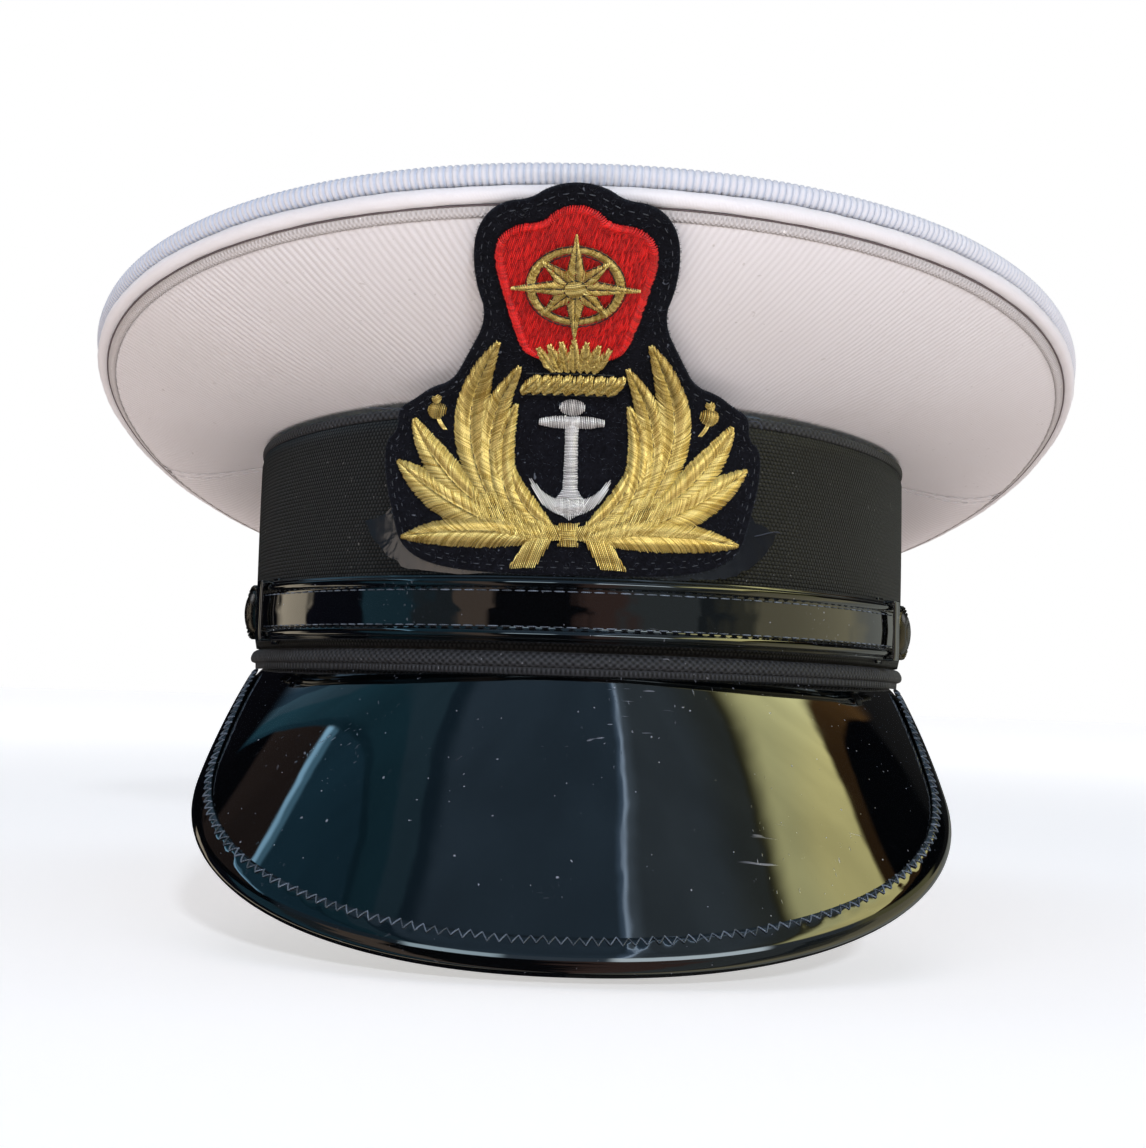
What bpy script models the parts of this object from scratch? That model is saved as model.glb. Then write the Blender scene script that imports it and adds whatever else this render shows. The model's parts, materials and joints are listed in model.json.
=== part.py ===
"""Military peaked cap: white crown on a wire hoop, braided band, patent visor,
chin strap on two side buttons, embroidered badge.

Front faces -Y, +X is the wearer's left, +Z is up.  Shapes are drawn about the
middle of the head opening, in the plane of the band's lower edge.  At the end
everything moves down so that the origin is the middle of the sweat shield's
flat underside, where a stand carries the cap.  Lengths in the constants below
are millimetres; every mesh is written in metres.
"""
import math

import bmesh
import bpy
from mathutils import Matrix, Vector

MM = 0.001

# ---------------------------------------------------------------- dimensions
SEAT_Z = 60.0                                  # sweat shield's underside above the band's edge
SHIELD_DEPTH = 0.6

# Head oval: four tangent arcs, measured on the outside of the band braid.
OVAL_HALF_WIDTH = 84.0
OVAL_HALF_LENGTH = 104.0
ARC_SHIFT = 20.0 + math.sqrt(200.0)            # arc centres from the middle
R_SIDE = OVAL_HALF_WIDTH + ARC_SHIFT
R_FRONT = OVAL_HALF_LENGTH - ARC_SHIFT
JOIN = math.sqrt(0.5)                          # arcs meet where the normal is 45 deg
SEG_FRONT = 12                                 # facets in each 90 deg end arc
SEG_SIDE = 22                                  # facets in each 90 deg side arc

# Band layers, as offsets from the oval (outside is 0, inside is negative).
BAND_TOP = 52.5
BRAID = (-1.0, 0.0)
STIFFENER = (-2.5, -1.3)
SWEATBAND = (-5.6, -4.6)
SWEATBAND_TOP = 40.0
LINING_OFF = -2.9

# Crown rim: a tilted ellipse, front high and back low.
RIM_HALF_WIDTH = 120.5
RIM_HALF_LENGTH = 138.5
RIM_CENTRE_Y = -7.2
RIM_CENTRE_Z = 59.2
RIM_TILT = math.radians(11.9)
RIM_POWER = 2.12                               # a little fuller than an ellipse
RIM_SADDLE = 2.2                               # sides up, front and back down
SEG_RIM = 60
PIPING_R = 2.1
PIPING_AT = (-0.3, -2.2)                       # (outward, upward) from the rim ellipse
ROLL_R = 2.0
ROLL_AT = (-0.2, 2.3)
WIRE_R = 1.1
SLEEVE_R = (1.4, 1.95)
WIRE_AT = (-5.7, 0.0)
QUARTER_EDGE = (-2.6, -4.3)
TOP_EDGE = (-3.0, 2.7)
FABRIC = 1.0
QUARTER_FOOT = (-1.4, 53.8)                    # offset and height of the sewn foot
SEAM_HALF_ANGLE = 0.17                         # half the gap between quarters, degrees
SIDE_SEAM = 9.0                                # side seams sit behind the widest point

# Visor.
VISOR_ROOT_OFF = -0.5
VISOR_ROOT_Z = -2.7
VISOR_ROOT_ANGLE = 22.5                        # where the root ends, degrees off the side
EDGE_HALF_WIDTH = 78.9
EDGE_LENGTH = 105.8                            # root line to tip, along the edge plane
EDGE_SHOULDER = 50.0
EDGE_POWER = 2.2
EDGE_START = (-42.0, -1.0)                     # y, z where the edge plane leaves the band
EDGE_SLOPE = math.radians(31.3)
EDGE_ROOT_HALF = 75.2
EDGE_END = 11.0                                # the edge stops short of the band
VISOR_BULGE = 1.6
VISOR_SKIN = 0.8
VISOR_BOARD = 1.2
VISOR_UNDER = 0.5
BINDING_FLAP = 6.5
BINDING_UNDER = 5.0

# Chin strap, keepers, buttons.
STRAP_Z = 10.1
STRAP_REAR = (1.25, 2.05)
STRAP_REAR_HALF = 5.6
STRAP_FRONT = (2.3, 3.4)
STRAP_FRONT_HALF = 6.05
STRAP_RIDGE = 4.2
STRAP_FRONT_END = 27.6                         # degrees off the side
KEEPER_ANGLE = 28.9
KEEPER_WIDTH = 3.6
BUTTON_ANGLE = 24.0
BUTTON_R = 6.5
SHANK_R = 1.15
PIN_R = 0.4

# Badge: flat pattern bent over the band front and up the crown front.
BADGE_U = -2.3                                 # sits a little off centre
BADGE_Y = -105.5
BADGE_FOOT_Z = 17.4
BADGE_CORNER_Z = 50.5
BADGE_LEAN = math.radians(51.9)
BADGE_BEND_R = 20.0
BADGE_WRAP_R = 100.0
PATCH = (0.0, 1.6)
THREAD_FOOT = 1.9

LEFT, RIGHT = 1.0, -1.0


# ------------------------------------------------------------------- helpers
def clear_scene():
    for obj in list(bpy.data.objects):
        bpy.data.objects.remove(obj, do_unlink=True)
    for mesh in list(bpy.data.meshes):
        bpy.data.meshes.remove(mesh)


def material(name, colour, roughness=0.6, metallic=0.0, alpha=1.0):
    mat = bpy.data.materials.new(name)
    mat.use_nodes = True
    shader = mat.node_tree.nodes["Principled BSDF"]
    shader.inputs["Base Color"].default_value = (*colour, 1.0)
    shader.inputs["Roughness"].default_value = roughness
    shader.inputs["Metallic"].default_value = metallic
    shader.inputs["Alpha"].default_value = alpha
    mat.diffuse_color = (*colour, alpha)
    return mat


def place(name, mesh, mat, parent=None, pivot=None, smooth=True):
    """Object for a mesh written in cap coordinates; its origin goes to pivot (mm)."""
    obj = bpy.data.objects.new(name, mesh)
    CAP.objects.link(obj)
    if parent is not None:
        obj.parent = parent
        base = parent_world(parent)
        mesh.transform(base.inverted())
    elif pivot is not None:
        shift = Vector(pivot) * MM
        mesh.transform(Matrix.Translation(-shift))
        obj.location = shift
    mesh.materials.append(mat)
    for poly in mesh.polygons:
        poly.use_smooth = smooth
    return obj


def parent_world(obj):
    """World matrix of an empty, followed up its parents."""
    local = Matrix.LocRotScale(obj.location, obj.rotation_euler, obj.scale)
    if obj.parent is None:
        return local
    return parent_world(obj.parent) @ local


def pivot_empty(name, location, rotation=(0.0, 0.0, 0.0), parent=None):
    """Empty on a joint axis; location is in cap coordinates, millimetres."""
    empty = bpy.data.objects.new(name, None)
    empty.empty_display_size = 0.01
    CAP.objects.link(empty)
    world = Vector(location) * MM
    if parent is not None:
        empty.parent = parent
        world = parent_world(parent).inverted() @ world
    empty.location = world
    empty.rotation_euler = rotation
    return empty


def face_outward(work):
    """Turn a closed shell's faces outward, judged by its signed volume."""
    bmesh.ops.recalc_face_normals(work, faces=work.faces)
    if work.calc_volume(signed=True) < 0.0:
        bmesh.ops.reverse_faces(work, faces=work.faces)


def mesh_from(name, points, faces):
    """Closed mesh from millimetre points, normals turned outward."""
    work = bmesh.new()
    verts = [work.verts.new(Vector(p) * MM) for p in points]
    for face in faces:
        work.faces.new([verts[i] for i in face])
    face_outward(work)
    mesh = bpy.data.meshes.new(name)
    work.to_mesh(mesh)
    work.free()
    return mesh


def swept(name, rings, closed):
    """Skin a row of equal polygon sections; closed joins the last to the first."""
    count = len(rings[0])
    points = [p for ring in rings for p in ring]
    faces = []
    steps = len(rings) if closed else len(rings) - 1
    for i in range(steps):
        a = i * count
        b = ((i + 1) % len(rings)) * count
        for j in range(count):
            k = (j + 1) % count
            faces.append((a + j, a + k, b + k, b + j))
    if not closed:
        faces.append(tuple(range(count)))
        last = (len(rings) - 1) * count
        faces.append(tuple(last + j for j in range(count)))
    return mesh_from(name, points, faces)


def sheet(name, rows, closed, outward, thickness, drop=0.0, pole=None):
    """Open cloth or board surface with a Solidify modifier for its thickness.

    rows are lists of points; drop moves the surface back along its normal
    first.  outward is a point the surface must face, in millimetres.
    """
    work = bmesh.new()
    grid = [[work.verts.new(Vector(p)) for p in row] for row in rows]
    cols = len(rows[0])
    last = cols if closed else cols - 1
    for upper, lower in zip(grid[:-1], grid[1:]):
        for j in range(last):
            k = (j + 1) % cols
            work.faces.new((upper[j], upper[k], lower[k], lower[j]))
    if pole is not None:
        centre = work.verts.new(Vector(pole))
        for j in range(last):
            work.faces.new((grid[-1][j], grid[-1][(j + 1) % cols], centre))
    work.normal_update()
    facing = sum((f.normal.dot(Vector(outward) - f.calc_center_median()) for f in work.faces))
    if facing < 0.0:
        bmesh.ops.reverse_faces(work, faces=work.faces)
        work.normal_update()
    if drop:
        moved = [v.co - v.normal * drop for v in work.verts]
        for vert, spot in zip(work.verts, moved):
            vert.co = spot
    for vert in work.verts:
        vert.co *= MM
    mesh = bpy.data.meshes.new(name)
    work.to_mesh(mesh)
    work.free()
    return mesh, thickness * MM


def rope(name, points, radius, resolution, mat, cyclic=True):
    """Round cord or wire: a poly curve with a bevel, points in millimetres."""
    curve = bpy.data.curves.new(name, "CURVE")
    curve.dimensions = "3D"
    curve.twist_mode = "Z_UP"
    curve.render_resolution_u = 0
    curve.bevel_depth = radius * MM
    curve.bevel_resolution = resolution
    curve.use_fill_caps = True
    spline = curve.splines.new("POLY")
    spline.points.add(len(points) - 1)
    for spot, place_ in zip(spline.points, points):
        spot.co = (*(Vector(place_) * MM), 1.0)
    spline.use_cyclic_u = cyclic
    curve.materials.append(mat)
    obj = bpy.data.objects.new(name, curve)
    CAP.objects.link(obj)
    return obj


def cylinder_mesh(name, radius, length, sides):
    """Closed cylinder along Z about the origin, millimetres in, metres out."""
    work = bmesh.new()
    bmesh.ops.create_cone(work, cap_ends=True, segments=sides, radius1=radius * MM,
                          radius2=radius * MM, depth=length * MM)
    mesh = bpy.data.meshes.new(name)
    work.to_mesh(mesh)
    work.free()
    return mesh


def outline_mesh(name, outline, low, high):
    """Flat plate from a filled 2D curve between two heights; stays in millimetres."""
    curve = bpy.data.curves.new(name, "CURVE")
    curve.dimensions = "2D"
    curve.fill_mode = "BOTH"
    curve.extrude = 0.5 * (high - low)
    curve.render_resolution_u = 0
    spline = curve.splines.new("POLY")
    spline.points.add(len(outline) - 1)
    for spot, (u, v) in zip(spline.points, outline):
        spot.co = (u, v, 0.0, 1.0)
    spline.use_cyclic_u = True
    holder = bpy.data.objects.new(name, curve)
    CAP.objects.link(holder)
    graph = bpy.context.evaluated_depsgraph_get()
    mesh = bpy.data.meshes.new_from_object(holder.evaluated_get(graph))
    bpy.data.objects.remove(holder, do_unlink=True)
    bpy.data.curves.remove(curve)
    work = bmesh.new()
    work.from_mesh(mesh)
    bmesh.ops.remove_doubles(work, verts=work.verts, dist=0.0005)
    bmesh.ops.translate(work, verts=work.verts, vec=(0.0, 0.0, 0.5 * (low + high)))
    face_outward(work)
    work.to_mesh(mesh)
    work.free()
    mesh.name = name
    return mesh


def thicken(obj, thickness):
    solid = obj.modifiers.new("thickness", "SOLIDIFY")
    solid.thickness = thickness
    solid.offset = -1.0
    solid.use_even_offset = False
    return obj


def cutter(name, centre, direction, radius, length, sides=16):
    """Closed cylinder in the cutters collection, centred on a point in mm."""
    obj = bpy.data.objects.new(name, cylinder_mesh(name, radius, length, sides))
    obj.rotation_mode = "QUATERNION"
    obj.rotation_quaternion = Vector((0.0, 0.0, 1.0)).rotation_difference(Vector(direction))
    obj.location = Vector(centre) * MM
    obj.hide_render = True
    obj.display_type = "WIRE"
    CUTTERS.objects.link(obj)
    return obj


def cut(obj, tool):
    mod = obj.modifiers.new("cut_" + tool.name, "BOOLEAN")
    mod.operation = "DIFFERENCE"
    mod.solver = "EXACT"
    mod.object = tool
    return obj


# ----------------------------------------------------------------- head oval
def oval(phi, off=0.0):
    """Point of the head oval whose outward normal points along phi (radians)."""
    nx, ny = math.cos(phi), math.sin(phi)
    if abs(nx) >= JOIN - 1e-9:
        cx, cy, radius = -math.copysign(ARC_SHIFT, nx), 0.0, R_SIDE
    else:
        cx, cy, radius = 0.0, math.copysign(ARC_SHIFT, ny), R_FRONT
    return cx + (radius + off) * nx, cy + (radius + off) * ny


def oval_angles():
    """Normal directions all round, front arc first."""
    out = []
    for start, count in ((-135.0, SEG_FRONT), (-45.0, SEG_SIDE),
                         (45.0, SEG_FRONT), (135.0, SEG_SIDE)):
        out += [math.radians(start + 90.0 * i / count) for i in range(count)]
    return out


def oval_ring(name, profile):
    """Sweep an (offset, height) section all round the head oval."""
    rings = []
    for phi in oval_angles():
        rings.append([(*oval(phi, off), z) for off, z in profile])
    return swept(name, rings, True)


def oval_wall(name, off, low, high, thickness):
    """Upright band layer: open wall round the oval, thickened inward."""
    rows = [[(*oval(phi, off), z) for phi in oval_angles()] for z in (low, high)]
    work = bmesh.new()
    grid = [[work.verts.new(Vector(p) * MM) for p in row] for row in rows]
    count = len(rows[0])
    for j in range(count):
        k = (j + 1) % count
        work.faces.new((grid[0][j], grid[0][k], grid[1][k], grid[1][j]))
    mesh = bpy.data.meshes.new(name)
    work.to_mesh(mesh)
    work.free()
    return mesh, thickness * MM


def side_phi(side, degrees):
    """Normal direction, given degrees forward of the side (+X is left)."""
    if side > 0:
        return math.radians(-degrees)
    return math.radians(180.0 + degrees)


def front_angles(end, step_side=4.2, step_front=6.0):
    """Normal directions across the front from end degrees off one side to the other."""
    side_count = max(1, round((45.0 - end) / step_side))
    front_count = round(90.0 / step_front)
    right = [180.0 + end + (45.0 - end) * i / side_count for i in range(side_count)]
    middle = [225.0 + 90.0 * i / front_count for i in range(front_count)]
    left = [315.0 + (45.0 - end) * i / side_count for i in range(side_count + 1)]
    return [math.radians(a) for a in right + middle + left]


# ----------------------------------------------------------------- crown rim
def signed_power(value, power):
    return math.copysign(abs(value) ** power, value)


def rim_frame(t):
    """Centre, outward and upward directions of the rim at ellipse angle t."""
    ct, st = math.cos(RIM_TILT), math.sin(RIM_TILT)
    power = 2.0 / RIM_POWER
    across = RIM_HALF_LENGTH * signed_power(math.sin(t), power)
    centre = Vector((RIM_HALF_WIDTH * signed_power(math.cos(t), power),
                     RIM_CENTRE_Y + across * ct,
                     RIM_CENTRE_Z - across * st + RIM_SADDLE * math.cos(2.0 * t)))
    flat = Vector((signed_power(math.cos(t), 2.0 - power) / RIM_HALF_WIDTH,
                   signed_power(math.sin(t), 2.0 - power) / RIM_HALF_LENGTH)).normalized()
    out = Vector((flat.x, flat.y * ct, -flat.y * st))
    up = Vector((0.0, st, ct))
    return centre, out, up


def rim_point(t, at):
    centre, out, up = rim_frame(t)
    return centre + out * at[0] + up * at[1]


def rim_line(at):
    """Points all round the rim, shifted (outward, upward) from the rim ellipse."""
    step = 2.0 * math.pi / SEG_RIM
    return [rim_point(step * i - math.pi / 2.0, at) for i in range(SEG_RIM)]


def rim_tube(name, at, section):
    """Sweep an (outward, upward) section all round the rim about a shifted centre."""
    rings = []
    for i in range(SEG_RIM):
        t = 2.0 * math.pi * i / SEG_RIM - math.pi / 2.0
        rings.append([rim_point(t, (at[0] + a, at[1] + b)) for a, b in section])
    return swept(name, rings, True)


def circle(radius, sides, turn=0.0):
    step = 2.0 * math.pi / sides
    return [(radius * math.cos(turn + step * i), radius * math.sin(turn + step * i))
            for i in range(sides)]


def blend_round(t, front, side, back):
    s = math.sin(t)
    if s < 0.0:
        return side + (front - side) * s * s
    return side + (back - side) * s * s


def quarter_profile(t, steps):
    """Bezier from the sewn foot on the band up to the rim seam."""
    spread = 4.5 if math.sin(t) < 0.0 else 8.0
    phi = t - math.radians(spread) * math.sin(2.0 * t)
    foot_x, foot_y = oval(phi, QUARTER_FOOT[0])
    foot = Vector((foot_x, foot_y, QUARTER_FOOT[1]))
    centre, out, up = rim_frame(t)
    head = rim_point(t, QUARTER_EDGE)
    level = Vector((head.x - foot.x, head.y - foot.y, 0.0)).normalized()
    span = (head - foot).length
    rise = math.radians(blend_round(t, 37.0, -3.0, 1.0))
    fall = math.radians(blend_round(t, -36.0, -24.0, -4.0))
    grip = blend_round(t, 0.36, 0.36, 0.30)
    first = foot + (level * math.cos(rise) + Vector((0, 0, 1)) * math.sin(rise)) * span * grip
    second = head + (-out * math.cos(fall) + up * math.sin(fall)) * span * 0.34
    line = []
    for i in range(steps + 1):
        w = i / steps
        v = 1.0 - w
        line.append(foot * v ** 3 + first * 3 * v * v * w + second * 3 * v * w * w + head * w ** 3)
    return line


def crown_columns(start, stop, count, steps, first=0, last=None):
    """Rows of the side wall between two rim angles given in degrees."""
    columns = []
    for i in range(count + 1):
        t = math.radians(start + (stop - start) * i / count)
        columns.append(quarter_profile(t, steps))
    last = steps if last is None else last
    return [[col[j] for col in columns] for j in range(first, last + 1)]


# --------------------------------------------------------------------- visor
def visor_edge(run):
    """Edge of the visor; run goes from 0 at the tip to 1 at the side."""
    dense = []
    count = 160
    for i in range(count + 1):
        a = 0.5 * math.pi * i / count
        x = EDGE_HALF_WIDTH * abs(math.sin(a)) ** (2.0 / EDGE_POWER)
        u = EDGE_SHOULDER + (EDGE_LENGTH - EDGE_SHOULDER) * abs(math.cos(a)) ** (2.0 / EDGE_POWER)
        dense.append((x, u))
    for i in range(1, 41):
        u = EDGE_SHOULDER - (EDGE_SHOULDER - EDGE_END) * i / 40
        pull = (1.0 - u / EDGE_SHOULDER) ** 2
        dense.append((EDGE_HALF_WIDTH - (EDGE_HALF_WIDTH - EDGE_ROOT_HALF) * pull, u))
    lengths = [0.0]
    for p, q in zip(dense[:-1], dense[1:]):
        lengths.append(lengths[-1] + math.hypot(q[0] - p[0], q[1] - p[1]))
    want = run * lengths[-1]
    for i in range(1, len(dense)):
        if lengths[i] >= want - 1e-9:
            f = (want - lengths[i - 1]) / (lengths[i] - lengths[i - 1])
            x = dense[i - 1][0] + (dense[i][0] - dense[i - 1][0]) * f
            u = dense[i - 1][1] + (dense[i][1] - dense[i - 1][1]) * f
            break
    return Vector((x, EDGE_START[0] - u * math.cos(EDGE_SLOPE),
                   EDGE_START[1] - u * math.sin(EDGE_SLOPE)))


def visor_point(s, w):
    """Upper face of the visor: s runs side to side, w from root to edge."""
    run = abs(s)
    phi = math.radians(-90.0 + (90.0 - VISOR_ROOT_ANGLE) * run)
    x, y = oval(phi, VISOR_ROOT_OFF)
    root = Vector((x, y, VISOR_ROOT_Z))
    edge = visor_edge(run)
    side = -1.0 if s < 0.0 else 1.0
    root.x *= side
    edge.x *= side
    chord = edge - root
    lift = Vector((chord.x, chord.y, 0.0))
    lift = Vector((0.0, 0.0, 1.0)) if lift.length < 1e-6 else lift.normalized()
    lift = (lift * 0.8 + Vector((0.0, 0.0, 0.6))).normalized()
    width = min(1.0, chord.length / 40.0)
    return root + chord * w + lift * VISOR_BULGE * math.sin(math.pi * w) * width


def visor_rows(columns, rows, trim=0.0):
    """Rows from root to edge; trim draws the sides and the edge in a little."""
    stations = [(1.0 - trim) * (2.0 * i / columns - 1.0) for i in range(columns + 1)]
    return [[visor_point(s, (1.0 - trim) * j / rows) for s in stations] for j in range(rows + 1)]


def visor_binding_mesh(columns):
    rings = []
    inner = 0.25
    outer = 1.05
    under = VISOR_SKIN + VISOR_BOARD + VISOR_UNDER + 0.5
    for i in range(columns + 1):
        s = -1.0 + 2.0 * i / columns
        edge = visor_point(s, 1.0)
        inward = (visor_point(s, 0.95) - edge).normalized()
        step = 0.004
        lo, hi = max(-1.0, s - step), min(1.0, s + step)
        along = (visor_point(hi, 1.0) - visor_point(lo, 1.0)).normalized()
        normal = inward.cross(along).normalized()
        if normal.z < 0.0:
            normal = -normal
        reach = (visor_point(s, 0.0) - edge).length - 1.3
        top = min(BINDING_FLAP, reach)
        low = min(BINDING_UNDER, reach - 1.6)
        shape = [(top, inner), (top, outer - 0.2), (top - 0.5, outer), (0.6, outer), (-0.9, 0.4),
                 (-1.5, -0.9), (-1.5, 0.1 - under), (-0.8, -under - 0.5), (0.6, -under - outer),
                 (low, -under - outer + 0.1), (low, -under - inner), (-0.4, -under - inner),
                 (-0.4, inner)]
        rings.append([edge + inward * a + normal * b for a, b in shape])
    return swept("visor_binding", rings, False)


# --------------------------------------------------------------------- badge
def badge_map(u, v, w):
    """Bend a flat badge point (right, up, out) onto the cap front."""
    u = u + BADGE_U
    tangent = BADGE_BEND_R * math.tan(BADGE_LEAN / 2.0)
    lower = BADGE_CORNER_Z - tangent - BADGE_FOOT_Z
    arc = BADGE_BEND_R * BADGE_LEAN
    if v < lower:
        lean, y, z = 0.0, BADGE_Y, BADGE_FOOT_Z + v
    else:
        lean = min(BADGE_LEAN, (v - lower) / BADGE_BEND_R)
        y = BADGE_Y - BADGE_BEND_R * (1.0 - math.cos(lean))
        z = BADGE_FOOT_Z + lower + BADGE_BEND_R * math.sin(lean)
        beyond = max(0.0, v - lower - arc)
        y -= beyond * math.sin(lean)
        z += beyond * math.cos(lean)
    turn = u / BADGE_WRAP_R
    spot = Vector((BADGE_WRAP_R * math.sin(turn), y + BADGE_WRAP_R * (1.0 - math.cos(turn)), z))
    out = Vector((math.sin(turn) * math.cos(lean), -math.cos(turn) * math.cos(lean),
                  -math.cos(turn) * math.sin(lean)))
    return spot + out.normalized() * w


def badge_bend(mesh, step_u=6.0, levels=7):
    """Slice a flat badge mesh so it can follow the bend, then bend it (mm in, m out)."""
    work = bmesh.new()
    work.from_mesh(mesh)
    for height in [23.0 + 3.4 * i for i in range(levels)]:
        geom = work.verts[:] + work.edges[:] + work.faces[:]
        bmesh.ops.bisect_plane(work, geom=geom, dist=1e-4, plane_co=(0.0, height, 0.0),
                               plane_no=(0.0, 1.0, 0.0))
    for i in range(-8, 9):
        geom = work.verts[:] + work.edges[:] + work.faces[:]
        bmesh.ops.bisect_plane(work, geom=geom, dist=1e-4, plane_co=(step_u * i - 3.0, 0.0, 0.0),
                               plane_no=(1.0, 0.0, 0.0))
    bmesh.ops.triangulate(work, faces=work.faces, quad_method="BEAUTY", ngon_method="BEAUTY")
    for vert in work.verts:
        vert.co = badge_map(*vert.co) * MM
    face_outward(work)
    work.to_mesh(mesh)
    work.free()
    return mesh


def mirrored(half):
    """Close a right-hand outline (top to bottom) with its mirror image."""
    inner = [p for p in half if p[0] > 1e-6]
    ends = [p for p in half if p[0] <= 1e-6]
    top, bottom = ends[0], ends[-1]
    right = [top] + inner + [bottom]
    left = [(-u, v) for u, v in reversed(inner)]
    return right + left


def leaf_mesh(base, mid, tip, width, low, high, stations=6):
    """One padded embroidery leaf: lens outline along a bent midrib."""
    work = bmesh.new()
    base, mid, tip = Vector(base), Vector(mid), Vector(tip)
    rings = []
    for i in range(1, stations):
        s = i / stations
        spot = base * (1 - s) ** 2 + mid * 2 * s * (1 - s) + tip * s * s
        ahead = (mid - base) * 2 * (1 - s) + (tip - mid) * 2 * s
        across = Vector((-ahead.y, ahead.x)).normalized()
        half = 0.5 * width * math.sin(math.pi * s ** 0.85) ** 0.65
        ring = []
        for side, lift in ((-1.0, 0.0), (1.0, 0.0), (0.92, 0.55), (0.0, 1.0), (-0.92, 0.55)):
            flat = spot + across * half * side
            ring.append(work.verts.new((flat.x, flat.y, low + (high - low) * lift)))
        rings.append(ring)
    first = [work.verts.new((base.x, base.y, low)), work.verts.new((base.x, base.y, low + 0.4))]
    final = [work.verts.new((tip.x, tip.y, low)), work.verts.new((tip.x, tip.y, low + 0.4))]
    for a, b in zip(rings[:-1], rings[1:]):
        for j in range(5):
            k = (j + 1) % 5
            work.faces.new((a[j], a[k], b[k], b[j]))
    for ring, end in ((rings[0], first), (rings[-1], final)):
        work.faces.new((ring[0], ring[1], end[0]))
        work.faces.new((ring[1], ring[2], end[1], end[0]))
        work.faces.new((ring[2], ring[3], end[1]))
        work.faces.new((ring[3], ring[4], end[1]))
        work.faces.new((ring[4], ring[0], end[0], end[1]))
    face_outward(work)
    mesh = bpy.data.meshes.new("leaf")
    work.to_mesh(mesh)
    work.free()
    return mesh


def united(name, meshes):
    """Exact union of flat badge meshes, returned as one mesh."""
    holders = []
    for index, mesh in enumerate(meshes):
        holder = bpy.data.objects.new(name + "_piece_%02d" % index, mesh)
        CAP.objects.link(holder)
        holders.append(holder)
    for other in holders[1:]:
        mod = holders[0].modifiers.new("join", "BOOLEAN")
        mod.operation = "UNION"
        mod.solver = "EXACT"
        mod.object = other
    graph = bpy.context.evaluated_depsgraph_get()
    result = bpy.data.meshes.new_from_object(holders[0].evaluated_get(graph))
    result.name = name
    for holder in holders:
        old = holder.data
        bpy.data.objects.remove(holder, do_unlink=True)
        bpy.data.meshes.remove(old)
    work = bmesh.new()
    work.from_mesh(result)
    bmesh.ops.remove_doubles(work, verts=work.verts, dist=0.01)
    bmesh.ops.dissolve_degenerate(work, edges=work.edges, dist=0.01)
    work.to_mesh(result)
    work.free()
    return result


def star_outline(points, long_r, short_r, centre):
    """Compass star: long rays on the axes, middling rays between."""
    out = []
    for i in range(points * 2):
        a = math.pi / 2.0 - math.pi * i / points
        if i % 2:
            r = short_r
        else:
            r = long_r if i % 4 == 0 else long_r * 0.72
        out.append((centre[0] + r * math.cos(a), centre[1] + r * math.sin(a)))
    return out


# --------------------------------------------------------------------- build
clear_scene()
CAP = bpy.data.collections.new("military_peaked_cap")
CUTTERS = bpy.data.collections.new("cutters")
bpy.context.scene.collection.children.link(CAP)
bpy.context.scene.collection.children.link(CUTTERS)

WHITE = (0.86, 0.86, 0.90)
BLACK = (0.012, 0.012, 0.014)
GOLD = (0.72, 0.52, 0.13)

# Crown top: rises from the rim in a rounded shoulder to a nearly flat sheet.
TOP_SHOULDERS = (1.0, 0.985, 0.955, 0.9, 0.82, 0.66, 0.36)
top_rows = []
for ratio in TOP_SHOULDERS:
    row = []
    for i in range(SEG_RIM):
        t = 2.0 * math.pi * i / SEG_RIM - math.pi / 2.0
        edge = rim_point(t, TOP_EDGE)
        x = edge.x * ratio
        y = RIM_CENTRE_Y + (edge.y - RIM_CENTRE_Y) * ratio
        sheet_z = 74.3 - 0.132 * y
        z = edge.z + (sheet_z - edge.z) * math.sqrt(1.0 - ratio ** 9)
        row.append((x, y, z))
    top_rows.append(row)
pole = (0.0, RIM_CENTRE_Y, 74.3 - 0.132 * RIM_CENTRE_Y)
mesh, depth = sheet("crown_top_panel", top_rows, True, (0, 0, 5000), FABRIC, pole=pole)
thicken(place("crown_top_panel", mesh, material("crown_top_panel", WHITE, 0.7)), depth)

# Crown side wall in four quarters, seamed front, back and behind each side.
QUARTERS = (
    ("crown_front_left_quarter", -90.0, SIDE_SEAM, 13),
    ("crown_rear_left_quarter", SIDE_SEAM, 90.0, 11),
    ("crown_rear_right_quarter", 90.0, 180.0 - SIDE_SEAM, 11),
    ("crown_front_right_quarter", 180.0 - SIDE_SEAM, 270.0, 13),
)
for name, start, stop, count in QUARTERS:
    rows = crown_columns(start + SEAM_HALF_ANGLE, stop - SEAM_HALF_ANGLE, count, 5)
    mesh, depth = sheet(name, rows, False, (0, 0, -5000), FABRIC)
    thicken(place(name, mesh, material(name, WHITE, 0.7)), depth)

# Rim: piping cord in the seam, ribbed roll above it, sprung wire hoop inside.
rope("crown_piping", rim_line(PIPING_AT), PIPING_R, 1, material("crown_piping", WHITE, 0.6))
rope("crown_edge_roll", rim_line(ROLL_AT), ROLL_R, 1, material("crown_edge_roll", WHITE, 0.65))
rope("grommet_wire", rim_line(WIRE_AT), WIRE_R, 0,
     material("grommet_wire", (0.45, 0.46, 0.48), 0.35, 0.9))
SLEEVE_MOUTH = 40.0                            # half opening of the sleeve, facing inward
sleeve = []
for radius, order in ((SLEEVE_R[1], range(5)), (SLEEVE_R[0], range(4, -1, -1))):
    for i in order:
        a = math.radians(180.0 + SLEEVE_MOUTH + (360.0 - 2.0 * SLEEVE_MOUTH) * i / 4.0)
        sleeve.append((radius * math.cos(a), radius * math.sin(a)))
mesh = rim_tube("grommet_sleeve", WIRE_AT, sleeve)
place("grommet_sleeve", mesh, material("grommet_sleeve", (0.75, 0.75, 0.72), 0.5))

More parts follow.
